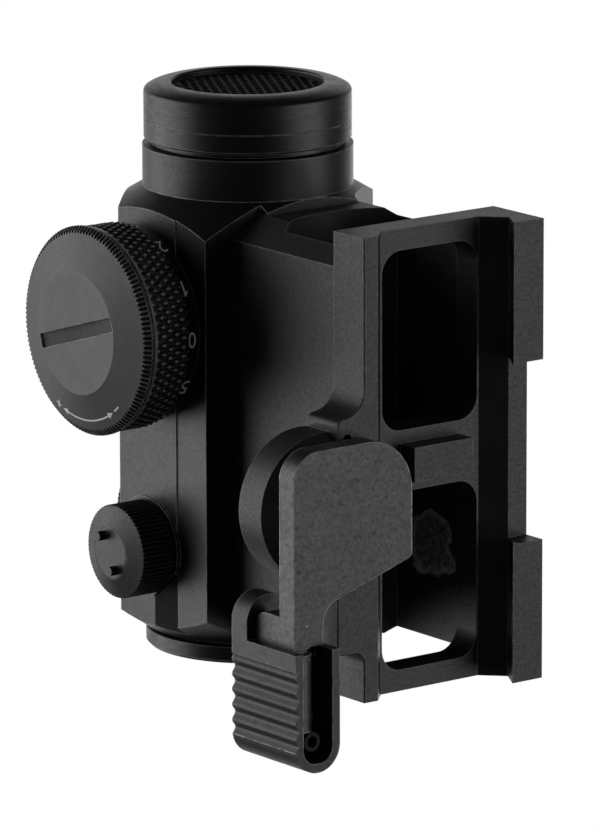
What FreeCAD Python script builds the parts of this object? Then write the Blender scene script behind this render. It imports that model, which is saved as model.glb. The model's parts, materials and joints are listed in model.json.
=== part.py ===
import FreeCAD, Part
import math
import os

# Compact red dot sight with an anti-reflection filter, on a one-piece riser with a quick-release
# clamp for a standard 1913-type accessory rail. Millimetres.
# Origin: middle of the clamp, on the plane of the rail's top. +X is the sight's right side (switch
# dial, windage cap and clamp lever), +Y is forward, towards the filter, +Z is up from the rail.

os.makedirs("parts", exist_ok=True)
Vec = FreeCAD.Vector

# ---- clearances shared by the fits ----
run_gap = 0.05              # radial, a shaft turning in its bore
slide_gap = 0.10            # each side, a piece sliding on another
seat_gap = 0.02             # fixed pieces seated in a bore
face_gap = 0.20             # between the end faces of a fixed and a turning piece

# ---- the rail the clamp fits ----
rail_top_half = 7.835       # half width of the rail's flat top
rail_flank_half = 10.60     # half width at its widest
rail_flank_drop = 2.76      # from the top plane down to the widest line
rail_slot_width = 5.23

# ---- clamp plate, jaws and lug ----
clamp_length = 60.0
plate_thick = 4.1
far_side = 13.65            # outer side of the fixed jaw, from the middle plane
near_side = 12.2            # side face of the plate on the lever's side
channel_gap = 0.06          # between the rail's flank and the jaws
near_jaw_drop = 2.13        # the near jaw's lower face below the rail's top
far_jaw_drop = 6.0
far_jaw_tip = 8.8           # the fixed jaw's hook reaches in to this half width
jaw_edge = 0.15             # chamfer on the near jaw's outer lower edge
jaw_relief_length = 23.5    # the fixed jaw is milled away in its middle over this length
jaw_relief_round = 2.3
window_gap = 8.0            # bar left between the two windows in the floor
window_length = 23.2
window_half = 7.7
window_round = 3.0
lug_half = 4.7
lug_width = 4.5
lug_drop = 2.9

# ---- lobe that carries the lever's pivot ----
lobe_x = 17.8
lobe_y = -3.9
lobe_r = 9.5
lobe_chamfer = 1.7
shelf_side = 16.4           # side face of the wide stretch of the plate
shelf_front = 7.1
shelf_back = -23.3
shelf_round = 3.2
shelf_corner = 0.9
guide_hole_r = 0.7
guide_hole_x = 14.9
guide_hole_y = 4.6

# ---- riser ----
axis_height = 37.8          # optical axis above the rail's top
riser_half = 11.7
riser_flat_half = 25.3      # half length of the riser's side faces
nose_half = 7.7             # the nose's end face: half width ...
nose_reach = 28.2           # ... and distance from the middle
tunnel_half = 9.0
roof_thick = 2.65           # metal left between the tunnel's crown and the sight's foot
arch_rise = 3.4             # the arch springs from the tunnel's walls this far below its crown
foot_half = 7.3             # the sight's foot sits between the riser's cheeks
foot_clear = 0.05           # the foot's face stands this far below the front tube
cheek_gap = 0.06

# ---- sight housing ----
body_half = 16.2
under_drop = 12.2           # underside below the optical axis
top_rise = 15.4
side_top = 6.4              # upper edge of the side faces above the axis
far_slope_top = -5.6        # the left side slants in below this height
far_slope_foot = 8.1
tube_r = 13.7
tube_front = 34.9
shoulder_front = 29.6
shoulder_slope = 0.60
shoulder_back = -28.7
back_slope = 0.66
housing_back = -29.0
bore_r = 11.9
pad_rise = 0.15
pad_low = -6.0              # lower edge of the raised pad, from the axis
facet_top = -1.2
facet_front = -18.8
facet_depth = 2.0
front_thread_r = 12.3
front_thread_depth = 6.0

# ---- optics ----
lens_r = 11.2
lens_thick = 3.0
lens_front = 33.2
window_thick = 2.0
rear_gap = 2.0              # between the optic tube and the rear window's shoulder
window_r = 11.0
retainer_height = 1.5
cell_seal_r = 0.22          # section radius of the objective's seal
cell_seal_groove = 0.5
eyepiece_r = 13.6
eyepiece_back = -31.45
eyepiece_aperture = 9.9
groove_ring_r = 12.7

# ---- inner optic tube and what moves it ----
optic_r = 10.4
optic_wall = 0.8
optic_front = 27.0
optic_back = -24.0
pivot_y = 23.0
pivot_ring_width = 3.0
adjuster_y = -16.45
return_spring_r = 1.3
return_spring_wire = 0.3
return_pocket_r = 1.6

# ---- windage and elevation caps and adjusters ----
cap_r = 6.15
cap_height = 5.5
cap_wall = 0.9
cap_top = 1.4
cap_notches = 64
cap_notch_depth = 0.2
cap_crown = 0.9             # the cap's face rises this much from its edge to its flat middle
prong_r = 0.62
prong_height = 1.2
prong_spacing = 4.9
prong_angle = 31            # the line through the prongs, as the caps happen to stop
cap_groove_r = 3.4          # fine ring turned round the flat middle
adjuster_r = 4.4
adjuster_height = 2.0
stem_r = 1.6
turret_boss_r = cap_r - cap_wall - run_gap
turret_boss_height = 1.8
collar_r = 6.6
collar_height = 0.5
cap_seal_r = 0.2            # section radius of the cap seals
cap_seal_groove = 0.45

# ---- brightness dial and battery cap ----
dial_y = 13.3
dial_lift = 1.6             # the dial's lower face stands this far off the housing
dial_height = 7.3
dial_ring_height = 1.6
dial_ring_r = 12.9
dial_r = 13.4
dial_skirt_r = 11.6         # inside of the dial's skirt
boss_r = 11.0
boss_height = 3.2
hub_r = 7.44
hub_depth = 1.9             # the hub reaches this far below the housing's side face
dial_floor = 1.3
pocket_depth = 2.9
cell_r = 10.0
cell_thick = 3.2
click_count = 12
click_ball_r = 0.75
click_rise = 0.30           # how far the ball springs into a notch
battery_cap_rim = 0.36      # plain lip under the notches
battery_cap_bevel = 0.62    # the notched bevel between the lip and the face
battery_cap_gap = 0.3
battery_cap_rise = 2.65     # the battery cap's flat middle above the dial's rim
battery_cap_flat_r = 8.05
battery_cap_r = 13.6
battery_cap_notches = 132
coin_slot_width = 1.9
coin_slot_depth = 0.8
coin_slot_sweep = 60.0      # radius of the cutter: the slot is shallower at its ends
coin_slot_tilt = 17.0
thread_r = 11.0
cap_ring_r = 0.22           # section radius of the battery cap's seal

# ---- anti-reflection filter ----
filter_neck = 1.0           # the grooved neck between the housing and the filter
filter_rear_height = 2.25   # rear ring, up to the seam
filter_front_height = 4.85  # front ring, from the seam to its lip
filter_face_drop = 0.91     # the crowned face falls this much from the lip to the side
filter_flat_r = 10.6        # where the crown begins
lip_round = 0.35
rim_round = 0.7             # outer edge of the front ring, between the crown and the side
comb_inset = 0.75           # the comb's face lies this far behind the lip
filter_r = 13.5
filter_hole_r = 9.85
filter_spigot_r = 12.2
comb_thick = 3.4
comb_pitch = 1.30
comb_web = 0.16
comb_rim = 0.5

# ---- clamp lever ----
pivot_x = 17.8
pivot_lever_y = -2.0
lever_top = -3.0
lever_thick = 2.9
lever_edge_x = 7.5          # edge under the rail, at the lever's lower face
lever_side_x = 26.35
lever_front_y = 4.9
head_back_y = -10.8         # the head's inner corner behind the pivot
arm_root_y = -15.3          # where the head's slanted edge would meet the arm
arm_inner_x = 21.7
arm_back_y = -20.0
flange_thick = 2.55
flange_top = 1.85
bend_round = 0.9            # inner lower edge of the flange
keel_depth = 1.5            # the flange runs this much deeper inside the slide
keel_front = -20.6
keel_round = 1.9            # inner lower edge of that deeper part
flange_front = -16.3
flange_back = -30.6
pivot_stud_r = 2.5
pivot_head_r = 3.2
nut_r = 5.2
nut_height = 2.0
washer_r = 5.6

# ---- lock slide ----
slide_outer_x = 27.65
slide_inner_x = 20.7
slide_wall = 1.2
slide_bottom = -8.0
slide_top = 5.2
slide_web = 3.1
slide_nose_y = -14.6
slide_wall_front = -20.2
slide_back = -35.8
rib_count = 6
rib_pitch = 2.0
rib_start = -22.4
rib_depth = 0.45
rib_round = 0.5             # radius of the ribs' crests and hollows
slide_travel = 3.0
lock_screw_r = 1.25
lock_spring_r = 0.75
lock_spring_wire = 0.25

# ---- sight screws ----
screw_x = 4.4
screw_y = 14.0
screw_r = 1.5
screw_head_r = 2.5
screw_head_height = 1.6
screw_recess = 0.3          # the heads' seats above the tunnel's crown
screw_grip = 1.9            # thread length in the housing


# ---------------------------------------------------------------- helpers
AXES = {"X": Vec(1, 0, 0), "Y": Vec(0, 1, 0), "Z": Vec(0, 0, 1)}


def place(axis, along, u, v):
    """A point from its distance along an axis and its other two coordinates in X, Y, Z order."""
    if axis == "X":
        return Vec(along, u, v)
    if axis == "Y":
        return Vec(u, along, v)
    return Vec(u, v, along)


def cyl(axis, r, low, high, u=0.0, v=0.0):
    return Part.makeCylinder(r, high - low, place(axis, low, u, v), AXES[axis])


def tube(axis, r, hole, low, high, u=0.0, v=0.0):
    return cyl(axis, r, low, high, u, v).cut(cyl(axis, hole, low - 1, high + 1, u, v))


def torus(axis, ring_r, section_r, along, u=0.0, v=0.0):
    return Part.makeTorus(ring_r, section_r, place(axis, along, u, v), AXES[axis])


def box(x0, x1, y0, y1, z0, z1):
    return Part.makeBox(x1 - x0, y1 - y0, z1 - z0, Vec(x0, y0, z0))


def prism(axis, points, low, high):
    """A straight prism along an axis; points hold the other two coordinates in X, Y, Z order."""
    corners = [place(axis, low, u, v) for u, v in points]
    face = Part.Face(Part.makePolygon(corners + corners[:1]))
    return face.extrude(AXES[axis] * (high - low))


def rounded(axis, corners, low, high):
    """A prism whose corners (u, v, radius) are rounded by tangent arcs."""
    count = len(corners)
    edges = []
    spans = []
    for i, (u, v, r) in enumerate(corners):
        here = Vec(u, v, 0)
        back = (Vec(*corners[i - 1][:2], 0) - here).normalize()
        ahead = (Vec(*corners[(i + 1) % count][:2], 0) - here).normalize()
        half = back.getAngle(ahead) / 2
        if r == 0 or abs(half - math.pi / 2) < 1e-6:
            spans.append((here, None, here))
            continue
        reach = r / math.tan(half)
        middle = here + (back + ahead).normalize() * (r / math.sin(half) - r)
        spans.append((here + back * reach, middle, here + ahead * reach))
    for i, (start, middle, end) in enumerate(spans):
        where = [place(axis, low, p.x, p.y) for p in (start, middle or start, end)]
        if middle:
            edges.append(Part.Arc(*where).toShape())
        following = spans[(i + 1) % count][0]
        if (following - end).Length > 1e-6:
            edges.append(Part.makeLine(where[2], place(axis, low, following.x, following.y)))
    face = Part.Face(Part.Wire(edges))
    return face.extrude(AXES[axis] * (high - low))


def turned(axis, profile, u=0.0, v=0.0):
    """A body of revolution; profile holds (radius, distance along the axis) for each corner.

    A third item, where a corner has one, is a point that the run to that corner arcs through.
    """
    side = {"X": Vec(0, 1, 0), "Y": Vec(1, 0, 0), "Z": Vec(1, 0, 0)}[axis]
    centre = place(axis, 0, u, v)
    points = [centre + side * corner[0] + AXES[axis] * corner[1] for corner in profile]
    edges = []
    for i, corner in enumerate(profile):
        if len(corner) == 3:
            r, along = corner[2]
            bulge = centre + side * r + AXES[axis] * along
            edges.append(Part.Arc(points[i - 1], bulge, points[i]).toShape())
        else:
            edges.append(Part.makeLine(points[i - 1], points[i]))
    face = Part.Face(Part.Wire(edges))
    return face.revolve(centre, AXES[axis], 360)


def spring(axis, mean_r, wire_r, low, high, turns, u=0.0, v=0.0):
    """A compression spring of round wire, its centre line a helix."""
    rise = high - low - 2 * wire_r
    helix = Part.makeHelix(rise / turns, rise, mean_r)
    section = Part.Wire(Part.makeCircle(wire_r, Vec(mean_r, 0, 0), Vec(0, 1, 0)))
    coil = Part.Wire(helix.Edges).makePipeShell([section], True, True)
    coil.translate(Vec(0, 0, wire_r))
    if axis == "X":
        coil.rotate(Vec(0, 0, 0), Vec(0, 1, 0), 90)
    if axis == "Y":
        coil.rotate(Vec(0, 0, 0), Vec(1, 0, 0), -90)
    coil.translate(place(axis, low, u, v))
    return coil


def around(shape, axis, centre, angle):
    copy = shape.copy()
    copy.rotate(centre, AXES[axis], angle)
    return copy


def join(shapes):
    whole = shapes[0]
    for shape in shapes[1:]:
        whole = whole.fuse(shape)
    return whole.removeSplitter()


def save(name, shape):
    solids = shape.Solids
    good = bool(solids) and all(solid.isValid() for solid in solids)
    print(f"{name:22s} solids {len(solids)} volume {shape.Volume:9.1f} valid {good}")
    shape.exportStep(f"parts/{name}.step")


# ---------------------------------------------------------------- places worked out from the sizes
half_length = clamp_length / 2
rail_roof_z = axis_height - under_drop          # the housing's underside
foot_depth = tube_r + foot_clear - under_drop
foot_z = rail_roof_z - foot_depth               # the foot's lower face, the riser's seat
lever_bottom = lever_top - lever_thick
optic_bore_r = optic_r - optic_wall
tunnel_roof = foot_z - roof_thick
tunnel_wall_top = tunnel_roof - arch_rise
dial_base = body_half + dial_lift
dial_top = dial_base + dial_height
boss_top = body_half + boss_height
hub_bottom = body_half - hub_depth
pocket_bottom = body_half - pocket_depth
battery_cap_top = dial_top + battery_cap_rise
filter_back = tube_front + filter_neck
filter_seam = filter_back + filter_rear_height
filter_front = filter_seam + filter_front_height
comb_front = filter_front - comb_inset
rear_seat_y = optic_back - rear_gap             # shoulder that the rear window's group sits against
battery_cap_base = dial_top + battery_cap_gap
battery_cap_face = battery_cap_base + battery_cap_rim + battery_cap_bevel


# ---------------------------------------------------------------- riser and clamp, one machined piece
def clamp_profile():
    """Section of the clamp across the rail: plate, near jaw and the fixed jaw's hook."""
    flank_x = rail_flank_half + channel_gap
    slope_top = rail_top_half + channel_gap
    near_jaw_x = slope_top + near_jaw_drop
    hook_start = rail_flank_drop
    return [(-far_side, plate_thick), (-far_side, -far_jaw_drop), (-far_jaw_tip, -far_jaw_drop),
            (-flank_x, -hook_start), (-slope_top, 0), (slope_top, 0), (near_jaw_x, -near_jaw_drop),
            (near_side - jaw_edge, -near_jaw_drop), (near_side, -near_jaw_drop + jaw_edge),
            (near_side, plate_thick)]


def windows():
    """The two windows through the clamp's floor."""
    cuts = []
    for side in (-1, 1):
        near = side * window_gap / 2
        far = near + side * window_length
        low, high = sorted((near, far))
        cuts.append(rounded("Z", [(-window_half, low, window_round), (window_half, low, window_round),
                                  (window_half, high, window_round), (-window_half, high, window_round)],
                            -1.0, plate_thick + 3.0))
    return cuts


def shelf():
    """The wide stretch of the plate and the lobe around the lever's pivot."""
    inner = near_side - 1.2
    flare = shelf_side - near_side
    plan = rounded("Z", [(inner, shelf_back - flare, 0), (near_side, shelf_back - flare, 0),
                         (near_side, shelf_back, shelf_round / 2), (shelf_side, shelf_back, shelf_corner),
                         (shelf_side, shelf_front, shelf_corner),
                         (near_side, shelf_front + 0.6, shelf_round),
                         (near_side, shelf_front + flare + 2, 0),
                         (inner, shelf_front + flare + 2, 0)], -near_jaw_drop, plate_thick)
    rim = [edge for edge in plan.Edges if edge.BoundBox.ZMax < -near_jaw_drop + 0.01
           and edge.BoundBox.XMax > near_side - 0.01 and edge.BoundBox.XMin > inner + 0.01]
    plan = plan.makeChamfer(jaw_edge, rim)
    lobe = turned("Z", [(0, -near_jaw_drop), (lobe_r - lobe_chamfer, -near_jaw_drop),
                        (lobe_r, -near_jaw_drop + lobe_chamfer), (lobe_r, plate_thick),
                        (0, plate_thick)], lobe_x, lobe_y)
    return [plan, lobe]


def riser_block():
    """The riser's outside in plan, with its nose and tail drawn in to the foot's width."""
    corner = (riser_half, riser_flat_half)
    plan = [(riser_half, -riser_flat_half), corner, (nose_half, nose_reach), (-nose_half, nose_reach),
            (-riser_half, riser_flat_half), (-riser_half, -riser_flat_half), (-nose_half, -nose_reach),
            (nose_half, -nose_reach)]
    block = prism("Z", plan, plate_thick - 0.5, rail_roof_z - cheek_gap)
    reach = nose_reach + 5
    arch_r = (tunnel_half ** 2 + arch_rise ** 2) / (2 * arch_rise)
    tunnel = box(-tunnel_half, tunnel_half, -reach, reach, plate_thick, tunnel_roof)
    arch = cyl("Y", arch_r, -reach, reach, 0, tunnel_roof - arch_r)
    below = box(-tunnel_half, tunnel_half, -reach, reach, plate_thick, tunnel_wall_top)
    tunnel = tunnel.common(arch).fuse(below)
    seat_half = foot_half + cheek_gap
    seat = box(-seat_half, seat_half, -reach, reach, foot_z, rail_roof_z + 1)
    return block.cut(tunnel).cut(seat)


def make_riser_base():
    clamp = prism("Y", clamp_profile(), -half_length, half_length)
    lug = box(-lug_half, lug_half, -lug_width / 2, lug_width / 2, -lug_drop, plate_thick / 2)
    base = join([clamp, riser_block(), lug] + shelf())
    relief_half = jaw_relief_length / 2
    relief = rounded("Z", [(-far_side - 1, -relief_half, 0), (-rail_top_half, -relief_half, jaw_relief_round),
                           (-rail_top_half, relief_half, jaw_relief_round),
                           (-far_side - 1, relief_half, 0)], -far_jaw_drop - 1, -rail_flank_drop)
    cuts = windows() + [relief]
    flank = rail_top_half + channel_gap
    cuts.append(prism("Y", [(flank, 0), (flank, -8), (flank + 8, -8)], -half_length, half_length))
    cuts.append(cyl("Z", pivot_stud_r + run_gap, -9, plate_thick + 1, pivot_x, pivot_lever_y))
    nut_floor = plate_thick - nut_height + 0.4
    cuts.append(cyl("Z", nut_r + slide_gap, nut_floor, plate_thick + 1, pivot_x, pivot_lever_y))
    cuts.append(cyl("Z", guide_hole_r, -near_jaw_drop - 1, 1.0, guide_hole_x, guide_hole_y))
    for x, y in screw_places():
        cuts.append(cyl("Z", screw_r + run_gap, tunnel_roof - 7, foot_z + 1, x, y))
        cuts.append(cyl("Z", screw_head_r + slide_gap, plate_thick, tunnel_roof + screw_recess, x, y))
    for cut in cuts:
        base = base.cut(cut)
    return base


def screw_places():
    return [(x, y) for x in (-screw_x, screw_x) for y in (-screw_y, screw_y)]


def make_sight_screws():
    """Four socket screws up through the riser's roof into the sight's foot."""
    solids = []
    seat = tunnel_roof + screw_recess
    for x, y in screw_places():
        head = cyl("Z", screw_head_r, seat - screw_head_height, seat, x, y)
        head = head.cut(hexagon(1.1, seat - screw_head_height - 1, seat - 0.6, x, y))
        shank = cyl("Z", screw_r, seat - 0.1, foot_z + screw_grip, x, y)
        solids.append(join([head, shank]))
    return Part.makeCompound(solids)


def hexagon(flat_half, low, high, u, v):
    r = flat_half / math.cos(math.pi / 6)
    points = [(u + r * math.cos(math.radians(a)), v + r * math.sin(math.radians(a)))
              for a in range(30, 390, 60)]
    return prism("Z", points, low, high)


# ---------------------------------------------------------------- sight housing
def section_points():
    """The housing's section about the optical axis: square below, chamfered above."""
    chamfer = top_rise - side_top
    return [(body_half, -under_drop), (body_half, side_top), (body_half - chamfer, top_rise),
            (-(body_half - chamfer), top_rise), (-body_half, side_top), (-body_half, far_slope_top),
            (-far_slope_foot, -under_drop), (-foot_half, -under_drop), (-foot_half, -under_drop - foot_depth),
            (foot_half, -under_drop - foot_depth), (foot_half, -under_drop)]


def turned_envelope():
    """What the lathe leaves: cones that run from the body's corners up to the two tube ends."""
    outer = 24.0
    reach = outer - tube_r
    return turned("Y", [(0, housing_back), (eyepiece_r - 0.8, housing_back),
                        (eyepiece_r - 0.8, shoulder_back), (tube_r, shoulder_back),
                        (outer, shoulder_back + back_slope * reach),
                        (outer, shoulder_front - shoulder_slope * reach),
                        (tube_r, shoulder_front), (tube_r, tube_front), (0, tube_front)],
                  0, axis_height)


def side_frame(z_from_axis):
    return axis_height + z_from_axis


def make_housing():
    points = [(x, side_frame(z)) for x, z in section_points()]
    body = prism("Y", points, housing_back, tube_front)
    pad = box(body_half - 1, body_half + pad_rise, housing_back, tube_front,
              side_frame(pad_low), side_frame(side_top - pad_rise))
    front = cyl("Y", tube_r, 0, tube_front, 0, axis_height)
    stub = cyl("Y", eyepiece_r - 0.8, housing_back, 0, 0, axis_height)
    body = join([body, pad, front, stub]).common(turned_envelope())
    boss = cyl("X", boss_r, body_half - 1, boss_top, dial_y, axis_height)
    turret = cyl("X", turret_boss_r, body_half - 1, body_half + turret_boss_height, adjuster_y, axis_height)
    crown = cyl("Z", turret_boss_r, axis_height + top_rise - 1, axis_height + top_rise + turret_boss_height,
                0, adjuster_y)
    collar = cyl("X", collar_r, body_half - 1, body_half + collar_height, adjuster_y, axis_height)
    top_collar = cyl("Z", collar_r, axis_height + top_rise - 1, axis_height + top_rise + collar_height,
                     0, adjuster_y)
    body = join([body, boss, turret, crown, collar, top_collar])
    grooves = [tube(axis, turret_boss_r + 1, turret_boss_r - cap_seal_groove,
                    seal_height(face) - cap_seal_r - 0.05, seal_height(face) + cap_seal_r + 0.05, u, v)
               for name, axis, face, u, v in turret_sites()]
    cuts = grooves + [cyl("Y", bore_r, rear_seat_y, tube_front + 1, 0, axis_height),
            cyl("Y", front_thread_r, tube_front - front_thread_depth, tube_front + 1, 0, axis_height),
            cyl("Y", window_r + 0.6, housing_back - 1, rear_seat_y, 0, axis_height)]
    facet = prism("Y", [(body_half + 1, side_frame(facet_top)), (body_half + pad_rise, side_frame(facet_top)),
                        (body_half - facet_depth, side_frame(pad_low)), (body_half + 1, side_frame(pad_low))],
                  housing_back - 1, 0)
    plan = prism("X", [(facet_front, side_frame(pad_low)),
                       (facet_front - (facet_top - pad_low) * 0.88, side_frame(facet_top)),
                       (housing_back - 1, side_frame(facet_top)), (housing_back - 1, side_frame(pad_low))],
                 body_half - facet_depth - 1, body_half + 2)
    cuts.append(facet.common(plan))
    cuts.append(cyl("X", hub_r + run_gap, pocket_bottom, boss_top + 1, dial_y, axis_height))
    cuts.append(tube("X", hub_r + run_gap + 0.5, 1, clip_low() - 0.05, clip_high() + 0.05,
                     dial_y, axis_height))
    cuts.append(cyl("Z", click_ball_r + run_gap, axis_height + hub_r + 0.9, axis_height + boss_r + 1,
                    click_x(), dial_y))
    for turret_cut in adjuster_bores():
        cuts.append(turret_cut)
    for x, y in screw_places():
        cuts.append(cyl("Z", screw_r + seat_gap, foot_z - 1, foot_z + screw_grip + 0.2, x, y))
    for cut in cuts:
        body = body.cut(cut)
    return body


def adjuster_bores():
    """Bores for the two adjusters, their plungers and the two return springs opposite."""
    cuts = []
    floor = adjuster_floor()
    for axis, face in (("X", body_half), ("Z", axis_height + top_rise)):
        u, v = (adjuster_y, axis_height) if axis == "X" else (0, adjuster_y)
        base = floor if axis == "X" else axis_height + floor_top()
        inside = bore_r - 1 if axis == "X" else axis_height + bore_r - 1
        cuts.append(cyl(axis, adjuster_r - 0.9 + run_gap, base, face + 9, u, v))
        cuts.append(cyl(axis, stem_r + run_gap, inside, face + 9, u, v))
    cuts.append(cyl("X", return_pocket_r, -body_half + 1.2, -bore_r + 3, adjuster_y, axis_height))
    cuts.append(cyl("Z", return_pocket_r, axis_height - under_drop + 0.2, axis_height - bore_r + 3,
                    0, adjuster_y))
    return cuts


def adjuster_floor():
    return body_half - 1.2


def floor_top():
    return top_rise - 1.2


# ---------------------------------------------------------------- optics
def make_objective_lens():
    """A doublet's plain outside: a slightly domed front and a flat back."""
    blank = cyl("Y", lens_r, lens_front - lens_thick, lens_front + 2, 0, axis_height)
    dome_r = 60.0
    dome = Part.makeSphere(dome_r, Vec(0, lens_front - dome_r, axis_height))
    return blank.common(dome)


def ring_y(outer, hole, low, high):
    return tube("Y", outer, hole, low, high, 0, axis_height)


def make_lens_cell():
    """The cell that centres the objective lens in the front of the housing."""
    back = lens_front - lens_thick
    cell = ring_y(bore_r - seat_gap, lens_r + seat_gap, back - 1.2, lens_front)
    lip = ring_y(bore_r - seat_gap, lens_r - 1.2, back - 1.2, back - seat_gap)
    groove = ring_y(bore_r + 1, bore_r - cell_seal_groove, seal_y() - 0.3, seal_y() + 0.3)
    return join([cell, lip]).cut(groove)


def seal_y():
    """Middle of the seal's groove in the lens cell."""
    return lens_front - lens_thick / 2


def make_lens_seal():
    return torus("Y", bore_r - seat_gap - cell_seal_r, cell_seal_r, seal_y(), 0, axis_height)


def make_lens_retainer():
    top = lens_front + 0.1
    ring = ring_y(front_thread_r - seat_gap, lens_r - 1.0, top, top + retainer_height)
    for angle in (0, 90):
        slot = box(-front_thread_r - 1, front_thread_r + 1, top + retainer_height - 0.6,
                   top + retainer_height + 1, axis_height - 0.5, axis_height + 0.5)
        ring = ring.cut(around(slot, "Y", Vec(0, 0, axis_height), angle))
    return ring


# ---------------------------------------------------------------- rear window and eyepiece ring
def make_rear_window():
    seat = rear_seat_y
    return cyl("Y", window_r, seat - window_thick - 0.3, seat - 0.3, 0, axis_height)


def make_rear_seal():
    seat = rear_seat_y
    return torus("Y", window_r + 0.6 - 0.3, 0.28, seat - window_thick - 0.3 - 0.3, 0, axis_height)


def make_eyepiece_ring():
    seat = rear_seat_y - window_thick - 0.6 - 0.3
    spigot_r = window_r + 0.6 - seat_gap
    return turned("Y", [(eyepiece_aperture, seat), (spigot_r, seat), (spigot_r, housing_back - 0.25),
                        (eyepiece_r, housing_back - 0.25), (eyepiece_r, eyepiece_back + 0.4),
                        (eyepiece_r - 0.4, eyepiece_back), (eyepiece_aperture + 0.9, eyepiece_back),
                        (eyepiece_aperture, eyepiece_back + 0.9)], 0, axis_height)


# ---------------------------------------------------------------- inner optic tube
def make_optic_tube():
    shell = ring_y(optic_r, optic_bore_r, optic_back, optic_front)
    pads = [cyl("X", 2.4, optic_r - 0.6, optic_r + 0.5, adjuster_y, axis_height),
            cyl("Z", 2.4, axis_height + optic_r - 0.6, axis_height + optic_r + 0.5, 0, adjuster_y),
            cyl("X", 2.0, -optic_r - 0.3, -optic_r + 0.6, adjuster_y, axis_height),
            cyl("Z", 2.0, axis_height - optic_r - 0.3, axis_height - optic_r + 0.6, 0, adjuster_y)]
    shell = join([shell] + pads)
    shell = shell.cut(cyl("Y", optic_bore_r, optic_back - 1, optic_front + 1, 0, axis_height))
    return shell


def make_pivot_ring():
    """Elastic ring at the front of the optic tube, on which it tilts."""
    return ring_y(bore_r - run_gap, optic_r + run_gap, pivot_y - pivot_ring_width / 2,
                  pivot_y + pivot_ring_width / 2)


def make_emitter_holder():
    """Small arm on the tube's wall that holds the light source clear of the view."""
    arm = box(optic_bore_r - 2.2, optic_bore_r + 0.2, optic_back + 3, optic_back + 7,
              axis_height - 1.3, axis_height + 1.3)
    arm = arm.common(cyl("Y", optic_bore_r - seat_gap, optic_back, optic_front, 0, axis_height))
    return arm.cut(cyl("Y", 0.75, optic_back + 5.5, optic_back + 8, optic_bore_r - 1.2, axis_height))


def make_led_emitter():
    x = optic_bore_r - 1.2
    body = cyl("Y", 0.72, optic_back + 5.55, optic_back + 7.4, x, axis_height)
    return join([body, Part.makeSphere(0.5, Vec(x, optic_back + 7.4, axis_height))])


# ---------------------------------------------------------------- windage and elevation
def turret_sites():
    """Name, axis, the face the turret stands on and its other two coordinates."""
    return [("windage", "X", body_half, adjuster_y, axis_height),
            ("elevation", "Z", axis_height + top_rise, 0.0, adjuster_y)]


def make_turret_cap(axis, face, u, v):
    """Screw-on cap with a notched side; its two prongs turn the adjuster when it is reversed."""
    low = face + collar_height + face_gap
    high = face + cap_height
    middle = high + cap_crown
    edge = 0.1
    cap = turned(axis, [(0, low), (cap_r, low), (cap_r, high - edge), (cap_r - edge, high),
                        (cap_groove_r, middle), (0, middle)], u, v)
    cap = cap.cut(cyl(axis, cap_r - cap_wall, low - 1, high - cap_top, u, v))
    centre = place(axis, 0, u, v)
    side = Vec(0, 1, 0) if axis == "X" else Vec(1, 0, 0)
    first = centre + side * (cap_r + 0.07) + AXES[axis] * (low - 1)
    notch = Part.makeCylinder(cap_notch_depth + 0.07, cap_height + 2, first, AXES[axis])
    notches = [around(notch, axis, centre, i * 360.0 / cap_notches) for i in range(cap_notches)]
    cap = cap.cut(Part.makeCompound(notches))
    prongs = []
    for sign in (-1, 1):
        spot = centre + around_side(axis) * (sign * prong_spacing / 2) + AXES[axis] * (middle - 0.3)
        prongs.append(Part.makeCylinder(prong_r, prong_height + 0.3, spot, AXES[axis]))
    groove = tube(axis, cap_groove_r + 0.05, cap_groove_r - 0.05, middle - 0.06, middle + 1, u, v)
    return join([cap.cut(groove)] + prongs)


def around_side(axis):
    """Direction of the line through the two prongs."""
    tilt = math.radians(prong_angle)
    if axis == "X":
        return Vec(0, math.cos(tilt), math.sin(tilt))
    return Vec(math.sin(tilt), math.cos(tilt), 0)


def make_turret_seal(axis, face, u, v):
    return torus(axis, turret_boss_r - cap_seal_groove + seat_gap + cap_seal_r, cap_seal_r,
                 seal_height(face), u, v)


def seal_height(face):
    return face + (collar_height + turret_boss_height) / 2


def adjuster_low(axis):
    return adjuster_floor() if axis == "X" else axis_height + floor_top()


def make_adjuster(axis, face, u, v):
    """Slotted click wheel that drives the plunger; the cap covers it."""
    low = adjuster_low(axis) + 0.1
    top = face + turret_boss_height + adjuster_height - 0.3
    neck_r = adjuster_r - 0.9
    wheel = turned(axis, [(stem_r + 0.3, low), (neck_r, low), (neck_r, face + turret_boss_height + 0.1),
                          (adjuster_r, face + turret_boss_height + 0.1), (adjuster_r, top),
                          (stem_r + 0.3, top)], u, v)
    centre = place(axis, 0, u, v)
    slot = box(-adjuster_r - 1, adjuster_r + 1, -0.4, 0.4, -0.6, 1)
    if axis == "X":
        slot.rotate(Vec(0, 0, 0), Vec(0, 1, 0), 90)
    slot.translate(place(axis, top, u, v))
    return wheel.cut(slot)


def plunger_tip(axis):
    """Where the optic tube's pad waits for the plunger."""
    pad = optic_r + 0.5
    return pad if axis == "X" else axis_height + pad


def make_plunger(axis, face, u, v):
    """Threaded plunger between the adjuster and the optic tube."""
    tip = plunger_tip(axis) + 0.02
    top = face + turret_boss_height + 0.6
    stem = cyl(axis, stem_r, tip + 0.5, top, u, v)
    cone = Part.makeCone(stem_r - 0.6, stem_r, 0.5, place(axis, tip, u, v), AXES[axis])
    return join([stem, cone])


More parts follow.
